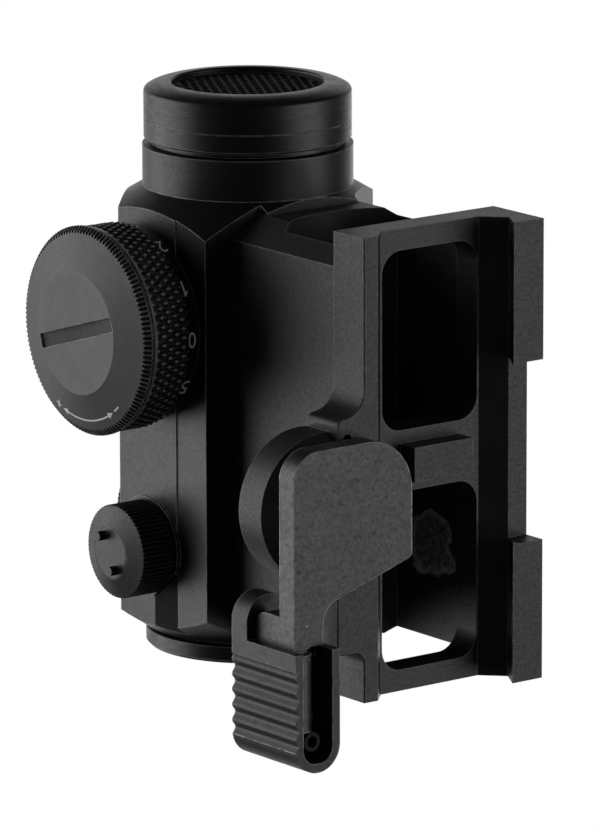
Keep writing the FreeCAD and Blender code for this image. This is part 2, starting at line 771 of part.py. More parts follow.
def make_return_springs():
    """Two springs opposite the plungers, which hold the optic tube against them."""
    side_low = -body_half + 1.2
    side_high = -optic_r - 0.3
    low = axis_height - under_drop + 0.2
    high = axis_height - optic_r - 0.3
    side = spring("X", return_spring_r - return_spring_wire, return_spring_wire, side_low + 0.05,
                  side_high - 0.05, 5, adjuster_y, axis_height)
    under = spring("Z", return_spring_r - return_spring_wire, return_spring_wire, low + 0.05,
                   high - 0.05, 2, 0, adjuster_y)
    return side, under


# ---------------------------------------------------------------- brightness dial and battery
def clip_low():
    return hub_bottom + 0.35


def clip_high():
    return clip_low() + 0.6


def click_x():
    """Height of the click ball, in the middle of the dial's skirt."""
    return (dial_base + 0.3 + boss_top) / 2


def make_dial():
    """Turned dial: number ring, grip band, skirt over the boss, hub in the pocket, cell well."""
    ring_top = dial_base + dial_ring_height
    floor_low = boss_top + face_gap
    floor_high = floor_low + dial_floor
    dial = turned("X", [(0, hub_bottom), (hub_r, hub_bottom), (hub_r, floor_low), (dial_skirt_r, floor_low),
                        (dial_skirt_r, dial_base), (dial_ring_r, dial_base), (dial_ring_r, ring_top),
                        (dial_r, ring_top + 0.2), (dial_r, dial_top), (thread_r, dial_top),
                        (thread_r, seal_seat()), (well_r(), seal_seat()), (well_r(), floor_high),
                        (0, floor_high)], dial_y, axis_height)
    cuts = [cyl("X", hub_r - 2.0, hub_bottom - 1, floor_low - 0.6, dial_y, axis_height),
            tube("X", hub_r + 1, hub_r - 0.55, clip_low() - 0.05, clip_high() + 0.05, dial_y, axis_height),
            tube("X", hub_r + 1, hub_r - 0.75, seal_x() - 0.42, seal_x() + 0.42, dial_y, axis_height)]
    centre = Vec(0, dial_y, axis_height)
    notch = cyl("X", click_ball_r + 0.08, dial_base - 1, floor_low, dial_y,
                axis_height + click_r() + click_rise)
    for i in range(click_count):
        cuts.append(around(notch, "X", centre, i * 360.0 / click_count))
    for cut in cuts:
        dial = dial.cut(cut)
    return dial


def click_r():
    """Distance of the pressed click ball's centre from the dial's axis."""
    return dial_skirt_r - run_gap - click_ball_r


def seal_x():
    return clip_high() + 1.1


def make_dial_seal():
    return torus("X", hub_r + run_gap - 0.38, 0.36, seal_x(), dial_y, axis_height)


def make_dial_clip():
    """Open wire ring that keeps the hub in its pocket."""
    ring = tube("X", hub_r + run_gap + 0.42, hub_r - 0.45, clip_low(), clip_high(), dial_y, axis_height)
    gap = box(clip_low() - 1, clip_high() + 1, dial_y - hub_r - 2, dial_y,
              axis_height - 0.8, axis_height + 0.8)
    return ring.cut(gap)


def make_click_ball():
    return Part.makeSphere(click_ball_r, Vec(click_x(), dial_y, axis_height + click_r()))


def make_click_spring():
    low = axis_height + hub_r + 0.9
    high = axis_height + click_r() - click_ball_r * 0.8
    return spring("Z", click_ball_r - 0.2, 0.12, low + 0.02, high, 3, click_x(), dial_y)


def make_circuit_board():
    board = cyl("X", hub_r - 0.2, pocket_bottom, pocket_bottom + 0.5, dial_y, axis_height)
    chip = box(pocket_bottom + 0.5, pocket_bottom + 0.8, dial_y - 1.6, dial_y + 1.6,
               axis_height - 1.2, axis_height + 1.2)
    return join([board, chip])


def well_floor():
    return boss_top + face_gap + dial_floor


def make_contact_spring():
    """Bowed leaf under the cell: a ring with a raised tongue."""
    low = well_floor()
    outer = cell_r * 0.5
    hole = cell_r * 0.34
    ring = tube("X", outer, hole, low, low + 0.25, dial_y, axis_height)
    tongue = box(low, low + 0.25, dial_y - hole - 0.2, dial_y + hole + 0.2,
                 axis_height - 0.9, axis_height + 0.9)
    rise = cyl("X", 0.8, low, low + 0.45, dial_y, axis_height)
    return join([ring, tongue, rise])


def make_coin_cell():
    low = well_floor() + 0.45
    can = turned("X", [(0, low), (cell_r - 0.9, low), (cell_r - 0.9, low + 0.35), (cell_r, low + 0.6),
                       (cell_r, low + cell_thick - 0.2), (cell_r - 0.2, low + cell_thick),
                       (0, low + cell_thick)], dial_y, axis_height)
    return can


def cell_top():
    return well_floor() + 0.45 + cell_thick


def well_r():
    return cell_r + 0.25


def cap_thread_low():
    return dial_top - 1.2


def seal_seat():
    """Shoulder in the dial on which the battery cap's seal lies."""
    return cap_thread_low() - 2 * cap_ring_r - 2 * seat_gap


def make_battery_cap():
    """Coned cap with a notched bevel, a flat middle with a coin slot, and a threaded skirt."""
    skirt_r = thread_r - run_gap
    bevel_low = battery_cap_base + battery_cap_rim
    cap = turned("X", [(0, cap_thread_low()), (skirt_r, cap_thread_low()), (skirt_r, battery_cap_base),
                       (battery_cap_r, battery_cap_base), (battery_cap_r, bevel_low),
                       (battery_cap_r - battery_cap_bevel, battery_cap_face),
                       (battery_cap_flat_r, battery_cap_top), (0, battery_cap_top)], dial_y, axis_height)
    cap = cap.cut(cyl("X", well_r(), cap_thread_low() - 1, cell_top() + 0.15, dial_y, axis_height))
    centre = Vec(0, dial_y, axis_height)
    pitch = 2 * math.pi * battery_cap_r / battery_cap_notches
    first = Vec(bevel_low, dial_y + battery_cap_r + 0.1, axis_height)
    notch = Part.makeCylinder(pitch * 0.4, 3 * battery_cap_bevel, first, Vec(1, -1, 0))
    cap = cap.cut(Part.makeCompound([around(notch, "X", centre, i * 360.0 / battery_cap_notches)
                                     for i in range(battery_cap_notches)]))
    slot = box(battery_cap_top - coin_slot_depth, battery_cap_top + 1, -battery_cap_flat_r + 0.1,
               battery_cap_flat_r - 0.1, -coin_slot_width / 2, coin_slot_width / 2)
    slot = slot.common(cyl("Z", coin_slot_sweep, -coin_slot_width, coin_slot_width,
                           battery_cap_top - coin_slot_depth + coin_slot_sweep, 0))
    slot.rotate(Vec(0, 0, 0), AXES["X"], 90 + coin_slot_tilt)
    slot.translate(Vec(0, dial_y, axis_height))
    return cap.cut(slot)


def make_cap_seal():
    return torus("X", thread_r - cap_ring_r - 0.1, cap_ring_r, seal_seat() + seat_gap + cap_ring_r,
                 dial_y, axis_height)


# ---------------------------------------------------------------- filter
def make_filter_rear_ring():
    """Threaded ring that screws into the front of the housing."""
    spigot_back = lens_front + 0.1 + retainer_height + face_gap
    neck_r = groove_ring_r
    return turned("Y", [(filter_hole_r, spigot_back), (filter_spigot_r, spigot_back),
                        (filter_spigot_r, tube_front + face_gap), (neck_r, tube_front + face_gap),
                        (neck_r, filter_back - 0.35), (filter_r, filter_back), (filter_r, filter_seam),
                        (filter_hole_r + 1.6, filter_seam), (filter_hole_r + 1.6, comb_back() - 0.6),
                        (filter_hole_r, comb_back() - 0.6)], 0, axis_height)


def comb_back():
    return comb_front - comb_thick


def make_filter_front_ring():
    """Front ring with a crowned face and a small roll round the opening."""
    lip = filter_hole_r
    inside = lip + 1.6
    reach = filter_r - filter_flat_r
    crown_r = (reach ** 2 + filter_face_drop ** 2) / (2 * filter_face_drop)
    half_turn = math.asin(reach / crown_r) / 2
    bulge = (filter_flat_r + crown_r * math.sin(half_turn),
             filter_front - crown_r * (1 - math.cos(half_turn)))
    ring = turned("Y", [(lip, comb_front), (lip, filter_front), (filter_flat_r, filter_front),
                        (filter_r, filter_front - filter_face_drop, bulge), (filter_r, filter_seam + 0.05),
                        (inside, filter_seam + 0.05), (inside, comb_front - 1.0), (lip + 0.6, comb_front)],
                  0, axis_height)
    ring = ring.makeFillet(lip_round, circles(ring, lip, filter_front))
    return ring.makeFillet(rim_round, circles(ring, filter_r, filter_front - filter_face_drop))


def circles(shape, r, y):
    """The round edges of one radius about the optical axis at one distance along it."""
    return [edge for edge in shape.Edges if hasattr(edge.Curve, "Radius")
            and abs(edge.Curve.Radius - r) < 0.01 and abs(edge.CenterOfMass.y - y) < 0.01]


def make_honeycomb():
    """Hexagonal cells that hide the lens's glint; walls stand along the line of sight."""
    comb_r = filter_hole_r + 0.55
    cell_flat = comb_pitch - comb_web
    r = cell_flat / 2 / math.cos(math.pi / 6)
    low = comb_back()
    hexes = []
    rows = int(comb_r / (comb_pitch * math.sin(math.pi / 3))) + 1
    for row in range(-rows, rows + 1):
        z = row * comb_pitch * math.sin(math.pi / 3)
        shift = comb_pitch / 2 if row % 2 else 0.0
        for column in range(-rows - 2, rows + 3):
            x = column * comb_pitch + shift
            if math.hypot(x, z) + r > comb_r - comb_rim:
                continue
            points = [Vec(x + r * math.sin(math.radians(a)), low,
                          axis_height + z + r * math.cos(math.radians(a)))
                      for a in range(0, 360, 60)]
            hexes.append(Part.Wire(Part.makePolygon(points + points[:1])))
    rim = Part.Wire(Part.makeCircle(comb_r, Vec(0, low, axis_height), AXES["Y"]))
    disc = Part.Face(rim)
    holes = Part.makeCompound([Part.Face(wire).extrude(Vec(0, comb_thick, 0)) for wire in hexes])
    return disc.extrude(Vec(0, comb_thick, 0)).cut(holes)


# ---------------------------------------------------------------- lever, its pivot and its lock
def make_lever():
    """Flat lever: a head whose bevelled edge grips under the rail, an arm and an upright flange."""
    x0 = lever_edge_x
    head = rounded("Z", [(x0, head_back_y, 0.9), (x0, lever_front_y, 7.0),
                         (lever_side_x - 1.2, lever_front_y, 4.0), (lever_side_x, lever_front_y - 3.0, 0.8),
                         (lever_side_x, arm_back_y, 0), (arm_inner_x, arm_back_y, 0),
                         (arm_inner_x, arm_root_y, 3.0)], lever_bottom, lever_top)
    bevel = prism("Y", [(x0 - 1, lever_bottom - 1), (x0 - 1, lever_top + 1),
                        (x0 + lever_thick + 1, lever_top + 1)], slide_back, lever_front_y + 1)
    head = head.cut(bevel)
    flange_x = lever_side_x - flange_thick
    flange = rounded("X", [(flange_back, lever_bottom, 0.6), (flange_front, lever_bottom, 0),
                           (flange_front, flange_top, 2.0), (flange_back, flange_top, 0.6)],
                     flange_x, lever_side_x)
    flange = flange.cut(box(flange_x - 1, flange_x + bend_round, flange_back - 1, arm_back_y - 0.2,
                            lever_bottom - 1, lever_bottom + bend_round)).fuse(
        cyl("Y", bend_round, flange_back + 0.6, arm_back_y - 0.2, flange_x + bend_round,
            lever_bottom + bend_round))
    keel_low = lever_bottom - keel_depth
    keel_high = keel_low + keel_round + 0.3
    keel = rounded("Y", [(flange_x, keel_low, keel_round), (lever_side_x, keel_low, 0),
                         (lever_side_x, keel_high, 0), (flange_x, keel_high, 0)], flange_back, keel_front)
    spring_stop = box(spring_stop_x(), flange_x + 0.1, flange_back, flange_back + 1.4, -4.5, -1.5)
    lever = join([head, flange, keel, spring_stop])
    lever = lever.cut(cyl("Z", pivot_stud_r - 0.5, lever_bottom + 0.8, lever_top + 1, pivot_x, pivot_lever_y))
    return lever


def spring_stop_x():
    return slide_inner_x + slide_wall + 0.35


def make_pivot_stud():
    """Stud riveted into the lever, turning in the lobe's bore, threaded for the nut."""
    shank = cyl("Z", pivot_stud_r, lever_top, plate_thick - 0.6, pivot_x, pivot_lever_y)
    tail = cyl("Z", pivot_stud_r - 0.5 - seat_gap, lever_bottom + 0.85, lever_top + 0.1,
               pivot_x, pivot_lever_y)
    stud = join([shank, tail])
    return stud.cut(hexagon(1.0, plate_thick - 2.2, plate_thick + 1, pivot_x, pivot_lever_y))


def make_lever_washer():
    """Hard washer between the lobe and the lever."""
    return tube("Z", washer_r, pivot_stud_r + run_gap, lever_top + 0.08, -near_jaw_drop - 0.02,
                pivot_x, pivot_lever_y)


def make_adjusting_nut():
    """Round nut with spanner holes, set once for the grip on the rail."""
    floor = plate_thick - nut_height + 0.4
    nut = tube("Z", nut_r, pivot_stud_r + seat_gap, floor + 0.35, plate_thick - 0.3, pivot_x, pivot_lever_y)
    for side in (-1, 1):
        nut = nut.cut(cyl("Z", 0.6, floor, plate_thick + 1, pivot_x + side * nut_r * 0.77, pivot_lever_y))
    return nut


def make_nut_spring():
    """Conical washer under the nut that takes up the play of the lever."""
    floor = plate_thick - nut_height + 0.4
    return tube("Z", nut_r - 0.4, pivot_stud_r + 0.2, floor + 0.02, floor + 0.33, pivot_x, pivot_lever_y)


def make_lock_slide():
    """Thumb slide: a web over the flange, two side walls, a round tail and ribs for the thumb."""
    width = slide_outer_x - slide_inner_x
    round_r = width / 2 - 0.05
    web_low = slide_top - slide_web
    web = rounded("Z", [(slide_outer_x, slide_nose_y, round_r), (slide_inner_x, slide_nose_y, round_r),
                        (slide_inner_x, slide_back, round_r), (slide_outer_x, slide_back, round_r)],
                  web_low, slide_top)
    walls = rounded("Z", [(slide_outer_x, slide_wall_front, 0), (slide_inner_x, slide_wall_front, 0),
                          (slide_inner_x, slide_back, round_r), (slide_outer_x, slide_back, round_r)],
                    slide_bottom, slide_top)
    inner_high = slide_outer_x - slide_wall
    inner_low = slide_inner_x + slide_wall
    inner_back = slide_back + slide_wall
    channel = rounded("Z", [(inner_high, slide_wall_front + 1, 0), (inner_low, slide_wall_front + 1, 0),
                            (inner_low, inner_back, 2.0), (inner_high, inner_back, 2.0)],
                      slide_bottom - 1, web_low)
    slide = join([web, walls]).cut(channel)
    slide = slide.cut(rib_cutter())
    stop = box(inner_low - 0.1, lever_side_x - flange_thick - slide_gap, slide_wall_front - 1.5,
               slide_wall_front - 0.1, -4.5, web_low + 0.1)
    slide = join([slide, stop])
    hole_x, hole_y = lock_screw_place()
    return slide.cut(cyl("Z", lock_screw_r + seat_gap, slide_bottom - 1, slide_top + 1, hole_x, hole_y))


def rib_cutter():
    """What is milled off the slide's outer side for the thumb: a wave of rounded ribs and hollows."""
    sharp = 0.12                # how far a corner stands off the round that replaces it
    clear = slide_outer_x + 1
    hollow = slide_outer_x - rib_depth - sharp
    crest = slide_outer_x + sharp
    corners = [(clear, rib_start, 0), (slide_outer_x - rib_depth * 0.8, rib_start, 0)]
    for i in range(rib_count):
        y = rib_start - rib_pitch * (i + 0.335)
        corners.append((crest, y, rib_round))
        if i < rib_count - 1:
            corners.append((hollow, y - rib_pitch / 2, rib_round))
    corners.append((clear, y - rib_pitch / 2, 0))
    return rounded("Z", corners, slide_bottom - 1, slide_top + 1)


def lock_screw_place():
    return (slide_inner_x + slide_outer_x) / 2 + 0.25, flange_back - lock_screw_r - 0.1


def make_lock_screw():
    """Socket screw down through the slide's web, which stops the slide at the flange's end."""
    x, y = lock_screw_place()
    screw = cyl("Z", lock_screw_r, slide_bottom + 0.9, slide_top - 0.4, x, y)
    return screw.cut(hexagon(0.7, slide_bottom + 0.6, slide_bottom + 2.9, x, y))


def lock_spring_span():
    return flange_back + 1.4, slide_wall_front - 1.5


def make_lock_spring():
    """Spring in the slide's channel that pushes the slide forward."""
    low, high = lock_spring_span()
    x = (slide_inner_x + slide_wall + lever_side_x - flange_thick) / 2
    return spring("Y", lock_spring_r - lock_spring_wire, lock_spring_wire, low + 0.03, high - 0.03, 7,
                  x, -3.0)


# ---------------------------------------------------------------- the files
save("riser_base", make_riser_base())
save("sight_screws", make_sight_screws())
save("housing", make_housing())
save("objective_lens", make_objective_lens())
save("lens_cell", make_lens_cell())
save("lens_seal", make_lens_seal())
save("lens_retainer", make_lens_retainer())
save("rear_window", make_rear_window())
save("rear_seal", make_rear_seal())
save("eyepiece_ring", make_eyepiece_ring())
save("optic_tube", make_optic_tube())
save("pivot_ring", make_pivot_ring())
save("emitter_holder", make_emitter_holder())
save("led_emitter", make_led_emitter())
for site, axis, face, u, v in turret_sites():
    save(f"{site}_cap", make_turret_cap(axis, face, u, v))
    save(f"{site}_cap_seal", make_turret_seal(axis, face, u, v))
    save(f"{site}_adjuster", make_adjuster(axis, face, u, v))
    save(f"{site}_plunger", make_plunger(axis, face, u, v))
side_spring, under_spring = make_return_springs()
save("windage_spring", side_spring)
save("elevation_spring", under_spring)
save("dial", make_dial())
save("dial_seal", make_dial_seal())
save("dial_clip", make_dial_clip())
save("click_ball", make_click_ball())
save("click_spring", make_click_spring())
save("circuit_board", make_circuit_board())
save("contact_spring", make_contact_spring())
save("coin_cell", make_coin_cell())
save("battery_cap", make_battery_cap())
save("battery_cap_seal", make_cap_seal())
save("filter_rear_ring", make_filter_rear_ring())
save("filter_front_ring", make_filter_front_ring())
save("honeycomb", make_honeycomb())
save("clamp_lever", make_lever())
save("pivot_stud", make_pivot_stud())
save("lever_washer", make_lever_washer())
save("adjusting_nut", make_adjusting_nut())
save("nut_spring", make_nut_spring())
save("lock_slide", make_lock_slide())
save("lock_screw", make_lock_screw())
save("lock_spring", make_lock_spring())
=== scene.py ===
# %% [markdown]
# # A red dot finder on a quick-release rail clamp
# The solid parts come ready made, in metres: X to the sight's right, Y forward to the filter, Z up.
# This lesson dresses them. It gives each finish its own node material, builds the knurled dial and
# the painted figures as meshes, and sets up a small studio with the camera low, under the clamp.

# %% Load the solid parts
import json
import math
import bpy
import bmesh
from mathutils import Matrix, Vector


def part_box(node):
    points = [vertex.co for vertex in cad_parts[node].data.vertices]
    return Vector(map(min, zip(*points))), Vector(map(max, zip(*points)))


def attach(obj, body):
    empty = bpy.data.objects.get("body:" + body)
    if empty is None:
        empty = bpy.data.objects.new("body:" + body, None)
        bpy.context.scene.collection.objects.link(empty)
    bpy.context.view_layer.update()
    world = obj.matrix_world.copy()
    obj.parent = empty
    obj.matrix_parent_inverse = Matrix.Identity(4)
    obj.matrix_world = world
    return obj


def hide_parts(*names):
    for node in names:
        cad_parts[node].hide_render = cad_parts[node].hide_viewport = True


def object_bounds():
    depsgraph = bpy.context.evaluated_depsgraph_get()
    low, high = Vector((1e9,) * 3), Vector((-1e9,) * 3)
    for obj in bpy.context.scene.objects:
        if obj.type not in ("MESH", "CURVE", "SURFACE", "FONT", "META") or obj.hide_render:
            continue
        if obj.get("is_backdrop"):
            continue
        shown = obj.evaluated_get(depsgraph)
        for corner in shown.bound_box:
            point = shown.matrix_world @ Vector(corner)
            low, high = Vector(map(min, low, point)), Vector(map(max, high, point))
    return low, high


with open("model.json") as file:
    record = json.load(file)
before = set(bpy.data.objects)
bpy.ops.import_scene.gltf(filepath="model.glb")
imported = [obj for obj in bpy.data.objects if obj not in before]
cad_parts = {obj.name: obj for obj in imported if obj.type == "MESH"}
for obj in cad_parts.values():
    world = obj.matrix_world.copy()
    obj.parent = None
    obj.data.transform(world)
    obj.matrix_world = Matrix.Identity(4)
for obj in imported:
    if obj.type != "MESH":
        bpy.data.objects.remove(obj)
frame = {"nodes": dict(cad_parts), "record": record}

MM = 0.001
cad_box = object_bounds()

# %% [markdown]
# Two helpers serve every later step: one puts an object into the scene, and the other finds the
# middle of a box, so that places come from the parts themselves.

# %% Two small helpers
def add_object(name, data):
    """An object in the scene, from a mesh, a curve, a lamp or a camera."""
    made = bpy.data.objects.new(name, data)
    bpy.context.scene.collection.objects.link(made)
    return made


def middle(box):
    low, high = box
    return (Vector(low) + Vector(high)) / 2


print("middle of the sight mm", [round(c / MM, 1) for c in middle(cad_box)])

# %% [markdown]
# ## Shader maths as plain expressions
# A finish such as worn steel is a sum of masks, and wiring every Math node by hand hides the idea.
# So one small class holds a socket and turns +, -, *, / and ** into nodes: `1 - mask` then reads as
# it would on paper. Colours and vectors go through Vector Math, because a Math node would turn
# them grey.

# %% A socket with arithmetic
class Value:
    """One output socket; arithmetic on it adds nodes to the same material."""

    def __init__(self, paint, socket):
        self.paint = paint
        self.socket = socket

    def is_vector(self):
        return self.socket.type in ("VECTOR", "RGBA")

    def combine(self, operation, first, second):
        kind, pair = "ShaderNodeMath", (first, second)
        if any(isinstance(v, Value) and v.is_vector() for v in pair):
            kind = "ShaderNodeVectorMath"
            pair = [v if isinstance(v, (Value, tuple)) else (v, v, v) for v in pair]
        return self.paint.node(kind, {"operation": operation}, dict(enumerate(pair)))

    def __add__(self, other):
        return self.combine("ADD", self, other)

    def __radd__(self, other):
        return self.combine("ADD", other, self)

    def __sub__(self, other):
        return self.combine("SUBTRACT", self, other)

    def __rsub__(self, other):
        return self.combine("SUBTRACT", other, self)

    def __mul__(self, other):
        return self.combine("MULTIPLY", self, other)

    def __rmul__(self, other):
        return self.combine("MULTIPLY", other, self)

    def __truediv__(self, other):
        return self.combine("DIVIDE", self, other)

    def __rtruediv__(self, other):
        return self.combine("DIVIDE", other, self)

    def __pow__(self, other):
        return self.combine("POWER", self, other)

    def __rpow__(self, other):
        return self.combine("POWER", other, self)

    def ramp(self, low, high):
        """0 below low, 1 above high, smooth between."""
        return self.paint.node("ShaderNodeMapRange",
                               {"interpolation_type": "SMOOTHSTEP", "clamp": True},
                               {"Value": self, "From Min": low, "From Max": high})

    def part(self, axis):
        """One component of a vector."""
        return self.paint.node("ShaderNodeSeparateXYZ", {}, {0: self}, axis)


print("operators ready: + - * / **")

# %% [markdown]
# ## One painter per material
# The painter starts a material with its Principled shader and adds any other node with one method:
# the node's type, its settings, then what goes into its sockets. A number goes in as it is, and a
# Value is linked. The edge mask, used for wear and for painted edge highlights, comes from two
# normals: the true one, and one rounded over a small radius. They agree on the flats and part
# company near an edge.

# %% The painter
EDGE_FROM, EDGE_FULL = 0.004, 0.07      # how far the two normals disagree at an edge
MIX_COLOURS, MIX_RESULT = (6, 7), 2     # the Mix node's colour sockets, among its many


class Paint:
    """Builds one material, or the world when that is what it is given."""

    def __init__(self, name, world=None):
        self.material = world or bpy.data.materials.new(name)
        self.material.use_nodes = True
        self.tree = self.material.node_tree
        self.shader = self.tree.nodes["Background" if world else "Principled BSDF"]
        self.out = self.tree.nodes["World Output" if world else "Material Output"]

    def put(self, target, value):
        if isinstance(value, Value):
            self.tree.links.new(value.socket, target)
        elif target.type == "RGBA" and len(value) == 3:
            target.default_value = (*value, 1.0)
        else:
            target.default_value = value

    def node(self, kind, settings, inputs, output=0):
        made = self.tree.nodes.new(kind)
        for key, setting in settings.items():
            setattr(made, key, setting)
        for key, value in inputs.items():
            self.put(made.inputs[key], value)
        return Value(self, made.outputs[output])

    def set(self, **values):
        """Feeds the shader itself; Base_Color stands for its socket Base Color."""
        for key, value in values.items():
            self.put(self.shader.inputs[key.replace("_", " ")], value)
        return self.material

    def mix(self, amount, first, second):
        """A colour between two colours."""
        return self.node("ShaderNodeMix", {"data_type": "RGBA"},
                         {0: amount, MIX_COLOURS[0]: first, MIX_COLOURS[1]: second}, MIX_RESULT)

    def place(self):
        """The point's place on the object, in millimetres."""
        return self.node("ShaderNodeTexCoord", {}, {}, "Object") * (1.0 / MM)

    def noise(self, where, scale, detail=2.0, roughness=0.5):
        """Cloudy values round 0.5; scale is in clouds per millimetre."""
        return self.node("ShaderNodeTexNoise", {},
                         {"Vector": where, "Scale": scale, "Detail": detail,
                          "Roughness": roughness}, "Fac")

    def rounded(self, radius):
        """The normal as if each edge had this radius."""
        return self.node("ShaderNodeBevel", {"samples": 4}, {"Radius": radius})

    def edges(self, radius):
        """1 on an edge, even a blunt one, and 0 on the flats."""
        true_normal = self.node("ShaderNodeNewGeometry", {}, {}, "Normal")
        alike = self.node("ShaderNodeVectorMath", {"operation": "DOT_PRODUCT"},
                          {0: self.rounded(radius), 1: true_normal}, "Value")
        return (1.0 - alike).ramp(EDGE_FROM, EDGE_FULL)

    def bump(self, height, distance, rounding=0.0):
        """Normal from a height; the edges are rounded first where the part has a small break."""
        inputs = {"Height": height, "Distance": distance, "Strength": 1.0}
        if rounding:
            inputs["Normal"] = self.rounded(rounding)
        return self.node("ShaderNodeBump", {}, inputs)


print("painter ready, edges show from", EDGE_FROM, "to", EDGE_FULL)

# %% [markdown]
# Each finish goes into one list under its own name, so that a part can look its finish up later.

# %% The list of finishes
FINISHES = {}


def keep(make, name, **settings):
    """Makes a finish and keeps it under its name."""
    FINISHES[name] = make(name, **settings)


print("finishes", len(FINISHES))

# %% [markdown]
# ## Black anodise
# Hard anodise is a thin dyed oxide: nearly black, with a sheen that depends on how the metal was
# finished below it. The sight is fine-turned and milled, so it is satin. The riser is bead-blasted,
# so it is matte and a little lighter. One function makes both, from a base colour, a roughness and
# the size of the grain. The break of each edge catches light because its normals are rounded, and
# its colour is painted pale: partly bare metal where the dye is thinner, partly a painted
# highlight.
# A coat whose weight changes from speck to speck gives the fine sparkle.
#
# Something has rubbed against the wall of the riser's rear window and left a dull grey patch. It is
# a mask too: the distance from its middle, made ragged with noise, on the plane of that wall only.

# %% Anodised aluminium
BARE_AND_HIGHLIT_EDGE = (0.60, 0.60, 0.59)          # aluminium where the dye has rubbed off, and also a painted edge highlight
RUBBED_GREY = (0.45, 0.45, 0.43)
RUBBED_PATCH = ((-9.0, -15.1, 11.2), (4.4, 5.0))    # its middle, and its reach along Y and Z, mm


def rubbed_patch(paint, where, centre, reach):
    """A patch on the flat wall at one X: a ragged outline, mottled inside."""
    off = where - centre
    apart = ((off.part("Y") / reach[0]) ** 2.0 + (off.part("Z") / reach[1]) ** 2.0) ** 0.5
    apart = apart + (paint.noise(where, 0.22, 3.0) - 0.5) * 1.3
    from_wall = paint.node("ShaderNodeMath", {"operation": "ABSOLUTE"}, {0: off.part("X")})
    on_wall = 1.0 - from_wall.ramp(0.02, 0.06)
    inside = 1.0 - apart.ramp(0.86, 1.0)
    border = apart.ramp(0.66, 0.9)
    mottle = paint.noise(where, 1.1, 4.0, 0.7).ramp(0.36, 0.66)
    return on_wall * inside * (mottle * 0.5 + border * 0.5 + 0.1)


def anodise(name, colour, rough, grain, grain_depth, edge_colour, edge_share, mottle=0.35,
            sheen=0.4, patch=None):
    """grain is in specks per millimetre; the shares say how strongly a mask shows, 0 to 1."""
    paint = Paint(name)
    where = paint.place()
    fine = paint.noise(where, grain, 3.0, 0.6)          # the blasted or milled grain
    speckle = paint.noise(where, 2.6, 4.0, 0.8)         # sparkle in the oxide
    patches = paint.noise(where, 0.16, 3.0, 0.55)       # the dye took unevenly
    rim = paint.edges(0.22 * MM)
    # edges painted pale: partly bare metal from wear, partly a painted highlight
    edge_wear_and_highlight = rim * (paint.noise(where, 0.7, 4.0, 0.65).ramp(0.38, 0.60) * 0.6 + 0.4) * edge_share
    tone = paint.mix(patches.ramp(0.30, 0.72) * mottle, colour, tuple(c * 1.7 for c in colour))
    if patch:
        tone = paint.mix(rubbed_patch(paint, where, *patch), tone, RUBBED_GREY)
    return paint.set(Base_Color=paint.mix(edge_wear_and_highlight, tone, edge_colour),
                     Metallic=edge_wear_and_highlight * 0.35,
                     Roughness=rough + (fine - 0.5) * 0.12 + (patches - 0.5) * 0.12 + edge_wear_and_highlight * 0.15,
                     Coat_Roughness=0.42,
                     Coat_Weight=speckle.ramp(0.36, 0.66) * sheen,
                     Normal=paint.bump(fine, grain_depth, 0.16 * MM))


keep(anodise, "body_anodise", colour=(0.0085, 0.009, 0.0095), rough=0.42, grain=7.0,
     grain_depth=0.008 * MM, edge_colour=BARE_AND_HIGHLIT_EDGE, edge_share=0.85)
keep(anodise, "mount_anodise", colour=(0.018, 0.0185, 0.019), rough=0.52, grain=4.0,
     grain_depth=0.03 * MM, edge_colour=(0.40, 0.40, 0.39), edge_share=0.7, mottle=0.6,
     sheen=0.5, patch=RUBBED_PATCH)
keep(anodise, "cap_anodise", colour=(0.007, 0.0075, 0.008), rough=0.43, grain=8.0,
     grain_depth=0.008 * MM, edge_colour=(0.30, 0.30, 0.29), edge_share=0.7)
print("anodised finishes", list(FINISHES))

# %% [markdown]
# ## Turned rings
# The filter, the eyepiece ring and the dial were cut on a lathe, which leaves lines too fine to
# count, all running round the axis. A noise that changes along the axis and outwards, but never
# round it, gives those lines: it is read at two coordinates only. The knurl's crests are painted a
# paler grey, a painted highlight, and the battery cap's coin slot, cut by a mill, is duller than
# its face.

# %% Where the turned parts are
dial_low, dial_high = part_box("dial")
cap_low, cap_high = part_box("battery_cap")
dial_middle = middle((dial_low, dial_high))
ring_middle = middle(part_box("eyepiece_ring"))
band_r = (dial_high[1] - dial_low[1]) / 2
print("dial centre mm", [round(c / MM, 2) for c in dial_middle])


# %% Rings turned about the optical axis, and the dial turned about its own
# a paler grey painted on the knurl's crests: a painted highlight
CREST_HIGHLIGHT_GREY = (0.42, 0.42, 0.41)
SLOT_R = (7.9, 8.0)                     # the slot ends inside the cap's flat face, mm


